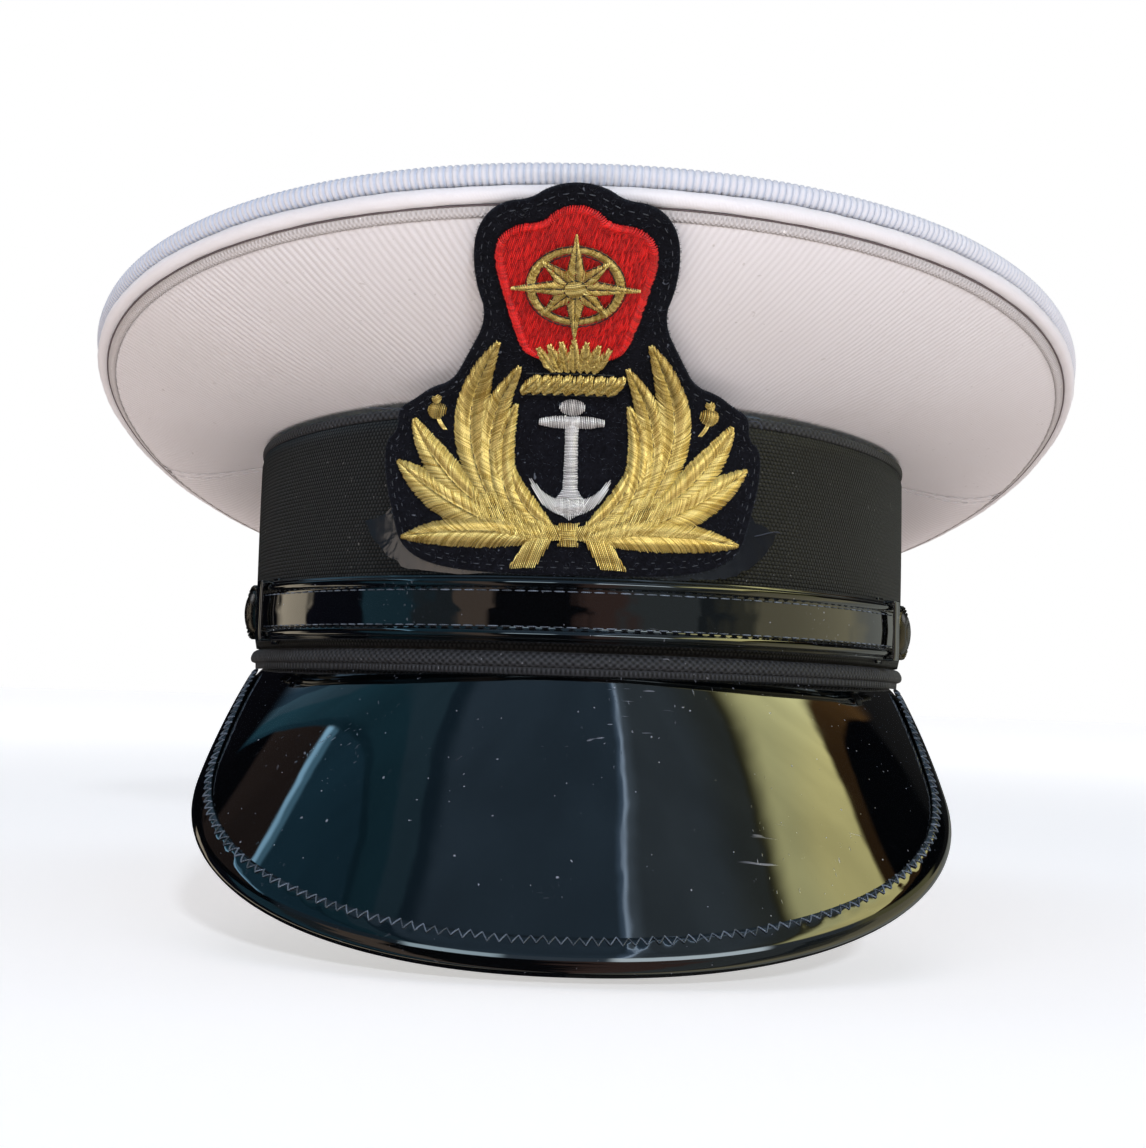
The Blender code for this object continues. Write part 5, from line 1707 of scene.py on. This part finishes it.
def badge_star():
    """Eight-point compass star over a plain ring: a generic device."""
    centre = (0.0, 65.5)
    ring_r, ring_width = 8.3, 1.5
    gold, dark = Threads(), Threads()
    border_satin(gold, circle(centre, ring_r, 90), ring_width, 2.35, 3.1)
    for radius in (ring_r - 0.95, ring_r + 0.95):
        running_stitch(dark, circle(centre, radius, 90), 2.95, 1.3, 0.1, 0.15)
    for tip, valleys, a in star_points(centre, 12.0, 4.1):
        for valley, lean in zip(valleys, (0.62, -0.62)):
            satin_fill(gold, [centre, valley, tip], a + lean, 2.7, 3.75, longest=9.0,
                       step=0.30)
            running_stitch(dark, [valley, tip], 3.15, 1.2, 0.06, 0.15, closed=False)
        running_stitch(dark, [centre, tip], 3.55, 1.6, 0.3, 0.10, closed=False)
    hub = circle(centre, 2.1, 30)
    satin_fill(gold, hub, 0.2, 3.3, 4.15, longest=9.0, dome=1.0)
    running_stitch(dark, hub, 3.65, 1.0, 0.1, 0.14)
    for i in range(-3, 4):
        lean = 0.16 * i
        base = Vector((1.25 * i, 44.4))
        tip = base + Vector((math.sin(lean), math.cos(lean))) * (8.2 - 0.45 * abs(i))
        satin_leaf(gold, tuple(base), tuple(base.lerp(tip, 0.5)), tuple(tip), 1.9, 2.3, 3.0)
    gold.piece("badge_star_thread", THREAD_GOLD, nodes=("badge_star",))
    dark.piece("badge_star_outline", THREAD_BLACK)


def badge_cord_bar():
    """Twisted cord: slanted satin lobes with dark stitches between."""
    gold, dark = Threads(), Threads()
    lobes = 9
    for i in range(lobes):
        u = -8.4 + 16.8 * i / (lobes - 1)
        satin_leaf(gold, (u - 1.7, 38.4), (u - 0.2, 41.0), (u + 1.7, 43.3), 2.3, 2.0, 3.35)
        running_stitch(dark, [(u - 0.7, 38.2), (u + 0.9, 40.7), (u + 2.6, 43.1)], 2.75, 1.5, 0.1,
                       0.16, closed=False)
    for v in (38.0, 43.7):
        running_stitch(dark, [(-9.6, v), (9.6, v)], 2.1, 1.6, 0.15, 0.16, closed=False)
    gold.piece("badge_cord_bar_thread", THREAD_GOLD, nodes=("badge_cord_bar",))
    dark.piece("badge_cord_bar_outline", THREAD_BLACK)


def badge_anchor():
    """Plain anchor in silver thread, each part filled along its own lay."""
    silver = Threads()
    shank = [(-1.35, 33.0), (1.35, 33.0), (1.15, 27.0), (1.35, 17.0), (2.6, 15.0), (-2.6, 15.0),
             (-1.35, 17.0), (-1.15, 27.0)]
    satin_fill(silver, shank, 0.05, THREAD_FOOT, 3.0, longest=9.0)
    stock = rounded([(-6.4, 32.8), (6.4, 32.8), (6.4, 30.2), (-6.4, 30.2)], 1)
    satin_fill(silver, stock, math.radians(88.0), THREAD_FOOT, 3.05, longest=9.0)
    satin_fill(silver, circle((0.0, 35.0), 2.5, 24, 1.9), math.radians(86.0), THREAD_FOOT, 2.9, longest=9.0)
    for side in (-1.0, 1.0):
        arm = []
        steps = 12
        for k in range(steps + 1):
            a = math.radians(-90.0 + 78.0 * k / steps)
            arm.append((side * (8.3 * math.cos(a)), 21.2 + 9.6 * math.sin(a)))
        for k in range(steps, -1, -1):
            a = math.radians(-90.0 + 70.0 * k / steps)
            thick = 3.2 * (1.0 - 0.75 * k / steps)
            arm.append((side * (8.3 - thick) * math.cos(a), 21.4 + (9.4 - thick) * math.sin(a)))
        satin_fill(silver, arm, math.radians(90.0 - side * 32.0), THREAD_FOOT, 2.95, longest=9.0)
    crown = [(0.0, 10.8), (3.2, 12.8), (2.6, 15.4), (-2.6, 15.4), (-3.2, 12.8)]
    satin_fill(silver, crown, math.radians(90.0), THREAD_FOOT, 3.1, longest=9.0)
    silver.piece("badge_anchor_thread", THREAD_SILVER, nodes=("badge_anchor",))


def badge_wreath(side, word):
    gold = Threads()
    points, faces = [], []
    for index, (base, mid, tip, width) in enumerate(LEAVES):
        spots = [(side * u, v) for u, v in (base, mid, tip)]
        low = THREAD_FOOT + 0.05
        high = 3.45 - 0.05 * index
        leaf_padding(points, faces, *spots, width, low - 0.15, high - 0.35)
        satin_leaf(gold, *spots, width, low, high)
    stem = [(side * u, v) for u, v in ((1.6, 6.6), (8.0, 6.4), (17.5, 8.8), (19.5, 15.0),
                                       (15.0, 16.0), (8.0, 11.0), (1.6, 9.2))]
    satin_fill(gold, stem, math.radians(90.0 - side * 24.0), 2.4, 3.25, longest=4.0)
    tail = [(side * u, v) for u, v in ((2.6, 7.4), (6.4, 1.0), (11.6, 0.8), (8.4, 6.4), (6.4, 8.2))]
    satin_fill(gold, tail, math.radians(90.0 + side * 20.0), THREAD_FOOT, 3.0, longest=9.0)
    gold.piece("badge_wreath_%s_thread" % word, THREAD_GOLD, nodes=("badge_wreath_" + word,))
    mesh_piece("badge_wreath_%s_padding" % word, points, faces, PAD_GOLD)
    dark = Threads()
    for base, mid, tip, width in LEAVES:
        at, length = leaf_shape(*[(side * u, v) for u, v in (base, mid, tip)], width)
        rib = [tuple(at(0.06 + 0.84 * k / 16)[0]) for k in range(17)]
        running_stitch(dark, rib, 2.72, 1.4, 0.9, 0.10, closed=False)
    dark.piece("badge_wreath_%s_veins" % word, THREAD_BROWN)
    berry = Threads()
    centre = (side * 27.6, 34.2)
    ball = circle(centre, 2.0, 24, 1.9)
    satin_fill(berry, ball, math.radians(80.0), THREAD_FOOT, 3.1, longest=9.0, dome=1.0)
    bud = circle((centre[0], centre[1] + 2.9), 1.0, 16)
    satin_fill(berry, bud, math.radians(20.0), THREAD_FOOT, 2.8, longest=9.0)
    stalk = [(centre[0] - side * 0.2, centre[1] - 1.8), (centre[0] - side * 1.8, 29.6)]
    for k in range(3):
        shift = 0.3 * (k - 1)
        badge_yarn(berry, [(stalk[0][0] + shift + (stalk[1][0] - stalk[0][0]) * f,
                            stalk[0][1] + (stalk[1][1] - stalk[0][1]) * f,
                            1.9 + 0.4 * math.sin(math.pi * f)) for f in (0, 0.25, 0.5, 0.75, 1)])
    berry.piece("badge_berry_%s_thread" % word, THREAD_GOLD, nodes=("badge_berry_" + word,))


def badge_tie():
    gold = Threads()
    tie = [(-2.0, 5.4), (2.0, 5.4), (1.5, 7.6), (2.0, 9.9), (-2.0, 9.9), (-1.5, 7.6)]
    satin_fill(gold, tie, math.radians(88.0), 2.7, 3.95, longest=9.0)
    wrap = [(-1.7, 6.6), (1.7, 6.6), (1.7, 8.6), (-1.7, 8.6)]
    satin_fill(gold, wrap, 0.06, 3.2, 4.2, longest=9.0)
    gold.piece("badge_tie_thread", THREAD_GOLD, nodes=("badge_tie",))


def loose_threads():
    """A few stray fibres where the patch was sewn down."""
    strays = Threads(sides=5)
    for path in (((-34.5, 34.2, 1.3), (-37.5, 35.2, 2.2), (-39.8, 35.4, 3.4), (-42.0, 36.4, 4.0)),
                 ((36.0, 33.5, 1.3), (38.0, 34.8, 1.8), (39.0, 34.0, 2.6), (38.6, 32.6, 3.0)),
                 ((38.8, 9.5, 0.6), (41.0, 9.9, 1.0), (43.5, 11.2, 1.3), (44.6, 10.4, 1.2))):
        ends = [Vector(p) for p in path]
        flat = []
        for k in range(13):
            s = k / 12
            v = 1.0 - s
            p = (ends[0] * v ** 3 + ends[1] * 3 * v * v * s + ends[2] * 3 * v * s * s
                 + ends[3] * s ** 3)
            flat.append(tuple(p))
        badge_yarn(strays, flat, 0.11, taper=0.3)
    strays.piece("badge_stray_fibres", THREAD_FUZZ)


# ---------------------------------------------- finishes of carried-over nodes
def finish_nodes():
    """Node materials for the CAD pieces that keep their own shape."""
    board = fibre_board("fibre_board", (0.10, 0.075, 0.05), (0.24, 0.185, 0.125))
    steel = brushed_metal("spring_steel", (0.30, 0.31, 0.33), (0.62, 0.63, 0.66), 0.25)
    brass = brushed_metal("pin_brass", (0.42, 0.33, 0.15), (0.75, 0.62, 0.34), 0.25)
    shield = film("shield_film", (0.86, 0.88, 0.90), 0.45)
    sleeve = leather("sleeve_vinyl", (0.66, 0.66, 0.63), (0.80, 0.80, 0.77), 0.5, 0.4)
    reed = leather("reed_vinyl", (0.02, 0.017, 0.015), (0.06, 0.05, 0.045), 0.4, 0.35)
    ribbon = leather("bow_ribbon", (0.05, 0.025, 0.016), (0.13, 0.07, 0.045), 0.4, 0.5)
    black_board = fibre_board("black_board", (0.004, 0.004, 0.004), (0.02, 0.019, 0.017))
    finishes = {
        "band_stiffener": black_board, "visor_board": board, "front_stay": board,
        "grommet_wire": steel, "grommet_sleeve": sleeve, "sweat_shield": shield,
        "sweatband_reed": reed, "sweatband_bow": ribbon, "chin_strap_rear": PATENT_STRAP,
        "left_button_pin": brass, "right_button_pin": brass,
    }
    for node, mat in finishes.items():
        obj = frame["nodes"][node]
        obj.data.materials.clear()
        obj.data.materials.append(mat)


# ---------------------------------------------------------------- studio
def studio():
    """Floor, lights, world and the camera."""
    low = CAD_BOX[0].z / MM + SEAT_Z - 1.5
    rings, cols = 40, 96
    points, faces = [(0.0, 0.0, low)], []
    for j in range(1, rings + 1):
        radius = 6000.0 * (j / rings) ** 2.0
        for i in range(cols):
            a = 2.0 * math.pi * i / cols
            points.append((radius * math.cos(a), radius * math.sin(a), low))
    for i in range(cols):
        faces.append((0, 1 + i, 1 + (i + 1) % cols))
    for j in range(rings - 1):
        for i in range(cols):
            k = (i + 1) % cols
            a, b = 1 + j * cols, 1 + (j + 1) * cols
            faces.append((a + i, b + i, b + k, a + k))
    paint = Paint("floor_paper")
    x, y, _ = paint.place()
    grain = paint.noise(3.0, 3.0)
    far = (x * x + y * y).power(0.5).above(260.0, 1500.0)
    rays = paint.tree.nodes.new("ShaderNodeLightPath")
    seen = Field(paint.tree, rays.outputs["Is Camera Ray"])
    # The floor glows as painted light: brighter far off, and warm in the light it throws up onto the cap.
    glow = far * 0.30 + 0.48 + seen * 0.02
    tint = paint.mix(seen, (1.0, 0.77, 0.62), (1.0, 0.995, 0.985))
    paint.set(Base_Color=paint.mix(grain, (0.86, 0.855, 0.85), (0.89, 0.885, 0.88)),
              Roughness=0.9, Specular_IOR_Level=0.1, Emission_Color=tint,
              Emission_Strength=glow, Normal=paint.bump(grain, 0.05, 0.3))
    see_through_below(paint)
    mesh = bpy.data.meshes.new("floor")
    mesh.from_pydata([framed(p) for p in points], [], faces)
    mesh.materials.append(paint.mat)
    floor = bpy.data.objects.new("floor", mesh)
    bpy.context.scene.collection.objects.link(floor)
    floor.visible_glossy = False

    lamps = (
        lamp("key", (0.28, -1.40, 0.50), 0.10, 9.2, (0.86, 0.91, 1.0)),
        lamp("sky", (0.0, -0.15, 1.5), 1.5, 3.5, (0.82, 0.90, 1.0)),
        lamp("fill", (-0.9, -1.3, 0.0), 1.0, 4.6, (1.0, 0.87, 0.76)),
        lamp("rim_left", (-1.3, 0.5, 0.7), 0.6, 1.8, (0.86, 0.92, 1.0)),
        lamp("rim_right", (1.3, 0.5, 0.7), 0.6, 1.8, (0.86, 0.92, 1.0)),
    )
    spare_mirrors(lamps)
    world()
    camera()


def see_through_below(paint):
    """The floor shows its upper face only, so the cap can be looked at from under it."""
    nodes, link = paint.tree.nodes, paint.tree.links.new
    side = nodes.new("ShaderNodeNewGeometry")
    clear = nodes.new("ShaderNodeBsdfTransparent")
    blend = nodes.new("ShaderNodeMixShader")
    link(side.outputs["Backfacing"], blend.inputs[0])
    link(paint.shader.outputs[0], blend.inputs[1])
    link(clear.outputs[0], blend.inputs[2])
    link(blend.outputs[0], nodes["Material Output"].inputs["Surface"])


def lamp(name, spot, size, power, colour):
    data = bpy.data.lights.new(name, "AREA")
    data.shape = "DISK"
    data.size = size
    data.energy = power
    data.color = colour
    obj = bpy.data.objects.new(name, data)
    obj.location = framed(Vector(spot) / MM)
    aim = Vector((0.0, -0.03, 0.03)) - Vector(spot)
    obj.rotation_mode = "QUATERNION"
    obj.rotation_quaternion = aim.to_track_quat("-Z", "Y")
    bpy.context.scene.collection.objects.link(obj)
    return obj


def spare_mirrors(lamps):
    """Lamps skip the mirror-black pieces; the pale and inner pieces show in no reflection."""
    mirrors = bpy.data.collections.new("mirror_pieces")
    for obj in bpy.data.objects:
        if obj.type == "MESH" and obj.name.startswith(MIRROR_PIECES):
            mirrors.objects.link(obj)
        if obj.type == "MESH" and obj.name.startswith(UNMIRRORED):
            obj.visible_glossy = False
    for entry in mirrors.collection_objects:
        entry.light_linking.link_state = "EXCLUDE"
    for source in lamps:
        source.light_linking.receiver_collection = mirrors


UNMIRRORED = ("crown_", "badge_", "grommet_", "front_stay", "sweat_shield", "band_top_welt")
MIRROR_PIECES = ("visor_patent", "visor_binding_roll", "chin_strap_front_patent")

# What the mirror-black pieces reflect: walls of a room, painted from left to right.
# High up, a wall starts where the direction's x (less slant times y) passes start.
HIGH_WALLS = (                                 # start, slant, soft edge, colour
    (-0.970, 0.69, 0.015, (0.10, 0.07, 0.06)),
    (-0.694, 0.35, 0.005, (1.70, 3.20, 4.40)),
    (-0.677, 0.35, 0.006, (0.45, 1.05, 1.50)),
    (-0.655, 0.35, 0.006, (0.07, 0.22, 0.34)),
    (-0.585, -0.13, 0.004, (0.04, 0.14, 0.21)),
    (-0.570, -0.13, 0.004, (0.06, 0.21, 0.30)),
    (-0.515, -0.13, 0.006, (0.12, 0.26, 0.36)),
    (-0.459, -0.13, 0.006, (0.06, 0.13, 0.20)),
    (-0.415, -0.12, 0.020, (0.19, 0.31, 0.44)),
    (0.196, 0.115, 0.010, (0.50, 0.80, 1.20)),
    (0.207, 0.115, 0.003, (2.60, 3.40, 4.40)),
    (0.216, 0.115, 0.006, (0.60, 0.80, 1.00)),
    (0.235, 0.115, 0.020, (0.30, 0.39, 0.46)),
    (0.400, 0.0, 0.060, (0.24, 0.28, 0.26)),
    (0.480, 0.0, 0.012, (0.20, 0.19, 0.09)),
    (0.512, 0.0, 0.030, (3.70, 3.60, 1.75)),
    (0.600, 0.0, 0.050, (4.80, 4.40, 1.90)),
    (0.690, -0.3, 0.008, (0.20, 0.105, 0.036)),
    (0.735, -0.3, 0.006, (0.004, 0.004, 0.005)),
)
# Lower down a wall starts at an angle from the camera, in degrees to its right.
MIDDLE_WALLS = (
    (-60.0, 4.0, (0.10, 0.16, 0.22)),
    (-26.0, 1.5, (3.0, 3.9, 4.4)),
    (-9.0, 1.5, (0.30, 0.42, 0.55)),
    (6.0, 1.5, (4.4, 5.2, 5.6)),
    (34.0, 2.0, (0.25, 0.30, 0.34)),
    (60.0, 4.0, (0.60, 0.58, 0.28)),
    (100.0, 4.0, (0.02, 0.02, 0.02)),
)
LOW_WALLS = (
    (-122.0, 2.0, (1.20, 1.05, 0.80)),
    (-109.0, 2.0, (0.01, 0.01, 0.02)),
    (-84.0, 3.0, (0.07, 0.20, 0.28)),
    (-60.0, 3.0, (0.10, 0.13, 0.15)),
    (-47.0, 2.0, (0.50, 0.38, 0.30)),
    (-31.0, 2.0, (0.01, 0.008, 0.01)),
    (1.0, 3.0, (0.30, 0.18, 0.15)),
    (18.0, 3.0, (0.24, 0.28, 0.29)),
    (44.0, 2.0, (0.09, 0.11, 0.12)),
    (54.0, 4.0, (0.26, 0.26, 0.19)),
    (67.0, 4.0, (0.80, 0.74, 0.48)),
    (112.0, 6.0, (0.40, 0.42, 0.38)),
    (145.0, 6.0, (0.02, 0.02, 0.02)),
)


def world():
    """White for the camera, gently graded for light, a painted room in reflections."""
    data = bpy.data.worlds.new("studio")
    bpy.context.scene.world = data
    data.use_nodes = True
    tree = data.node_tree
    tree.nodes.clear()
    link = tree.links.new
    coords = tree.nodes.new("ShaderNodeTexCoord")
    split = tree.nodes.new("ShaderNodeSeparateXYZ")
    link(coords.outputs["Generated"], split.inputs[0])
    x, y, z = (Field(tree, s) for s in split.outputs)

    def colour_mix(*parts):
        return mix_colours(tree, *parts)

    light = colour_mix(z.above(-0.35, 0.6), (0.36, 0.285, 0.24), (0.18, 0.195, 0.24))
    noise = tree.nodes.new("ShaderNodeTexNoise")
    noise.inputs["Scale"].default_value = 5.0
    noise.inputs["Detail"].default_value = 3.0
    link(coords.outputs["Generated"], noise.inputs["Vector"])
    cloud = Field(tree, noise.outputs[0])
    ragged = (cloud - 0.5) * 0.02
    dark = (0.004, 0.004, 0.006)
    high = colour_mix(z * 0.0, dark, dark)
    for start, slant, soft, colour in HIGH_WALLS:
        across = x - y * slant + ragged
        high = colour_mix(across.above(start - soft, start + soft), high, colour)
    shine = cloud.above(0.25, 0.75) * 0.5
    high = colour_mix(shine, high, (0.55, 0.55, 0.55), "MULTIPLY")
    angle = x.math("ARCTAN2", y * -1.0) * (180.0 / math.pi) + ragged * 60.0
    middle = low = colour_mix(z * 0.0, dark, dark)
    for start, soft, colour in MIDDLE_WALLS:
        middle = colour_mix(angle.above(start - soft, start + soft), middle, colour)
    angle_low = angle + (cloud - 0.5) * 26.0
    for start, soft, colour in LOW_WALLS:
        low = colour_mix(angle_low.above(start - soft, start + soft), low, colour)
    room = colour_mix(z.above(0.20, 0.24), low, middle)
    room = colour_mix(z.above(0.44, 0.52), room, high)
    rays = tree.nodes.new("ShaderNodeLightPath")
    glossy = Field(tree, rays.outputs["Is Glossy Ray"])
    seen = Field(tree, rays.outputs["Is Camera Ray"])
    shade = colour_mix(glossy, light, room)
    shade = colour_mix(seen, shade, (1.0, 1.0, 1.0))
    back = tree.nodes.new("ShaderNodeBackground")
    link(shade, back.inputs["Color"])
    output = tree.nodes.new("ShaderNodeOutputWorld")
    link(back.outputs[0], output.inputs["Surface"])


CAMERA_LENS = 49.45                            # mm
CAMERA_SPOT = (0.0, -423.56, -6.20)
CAMERA_AHEAD = (-0.003775, 0.997237, 0.074193)
CAMERA_ROLL = math.radians(1.84)


def camera():
    """Viewpoint level with the visor, looking slightly up, with the photo's small roll."""
    data = bpy.data.cameras.new("camera")
    data.lens = CAMERA_LENS
    data.clip_start = 0.01
    obj = bpy.data.objects.new("camera", data)
    ahead = Vector(CAMERA_AHEAD).normalized()
    right = ahead.cross(UP).normalized()
    above = right.cross(ahead)
    roll = CAMERA_ROLL
    right, above = (right * math.cos(roll) + above * math.sin(roll),
                    above * math.cos(roll) - right * math.sin(roll))
    turn = Matrix((right, above, -ahead)).transposed()
    obj.matrix_world = Matrix.Translation(framed(CAMERA_SPOT)) @ turn.to_4x4()
    bpy.context.scene.collection.objects.link(obj)
    bpy.context.scene.camera = obj
    bpy.context.scene.view_settings.view_transform = "Standard"


# ----------------------------------------------------------------- build
THREAD_GOLD = thread_paint("gold_thread", (0.42, 0.24, 0.03), (1.0, 0.78, 0.28), 0.7, 0.22)
THREAD_SILVER = thread_paint("silver_thread", (0.45, 0.44, 0.45), (0.98, 0.97, 0.97), 0.4, 0.28)
THREAD_RED = thread_paint("red_thread", (0.40, 0.001, 0.003), (0.95, 0.012, 0.010), 0.0, 0.30)
THREAD_BLACK = thread_paint("black_thread", (0.003, 0.003, 0.003), (0.02, 0.018, 0.015), 0.0, 0.5)
THREAD_BROWN = thread_paint("vein_thread", (0.02, 0.012, 0.004), (0.09, 0.05, 0.015), 0.2, 0.5)
THREAD_NIGHT = thread_paint("night_thread", (0.012, 0.017, 0.025), (0.15, 0.19, 0.25), 0.0, 0.22)
THREAD_DIM = thread_paint("dim_thread", (0.006, 0.007, 0.011), (0.06, 0.07, 0.09), 0.0, 0.5)
# Colour of the dark cord that paints the shade under the piping.
THREAD_SHADE_CORD = thread_paint("seam_thread", (0.04, 0.03, 0.035), (0.16, 0.13, 0.14), 0.0, 0.7)
THREAD_WHITE = thread_paint("white_thread", (0.70, 0.70, 0.74), (0.92, 0.92, 0.95), 0.0, 0.5)
THREAD_TAN = thread_paint("tan_thread", (0.30, 0.20, 0.11), (0.50, 0.36, 0.22), 0.0, 0.5)
THREAD_FUZZ = thread_paint("felt_fibre", (0.004, 0.005, 0.010), (0.05, 0.06, 0.085), 0.0, 0.8)
PATENT = patent("patent_visor")
PATENT_STRAP = patent("patent_strap", wear=0.5, ripple=0.05)
BINDING = patent("patent_binding", wear=0.3, ripple=0.02)
FELT = felt("black_felt", (0.0015, 0.0015, 0.003), (0.008, 0.009, 0.014))
FILM = film("backing_film", (0.008, 0.009, 0.012), 1.0)
WELT = coarse_cloth("welt_cloth", (0.002, 0.002, 0.003), (0.040, 0.043, 0.050), 0.8, 0.03)
PAD_GOLD = leather("gold_padding", (0.20, 0.12, 0.03), (0.38, 0.26, 0.08), 0.6, 0.6)
PAD_RED = leather("red_padding", (0.22, 0.004, 0.006), (0.40, 0.008, 0.01), 0.6, 0.6)
BUTTON_METAL = brushed_metal("button_metal", (0.02, 0.018, 0.016), (0.09, 0.08, 0.07), 0.16)

crown_walls()
seam_stitches()
crown_top()
crown_edges()
band()
interior()
visor()
strap()
for side_, word_ in SIDES:
    keeper(side_, word_)
    button(side_, word_)
badge_film()
badge_patch()
badge_red()
badge_star()
badge_cord_bar()
badge_anchor()
for side_, word_ in SIDES:
    badge_wreath(side_, word_)
badge_tie()
loose_threads()
finish_nodes()
studio()
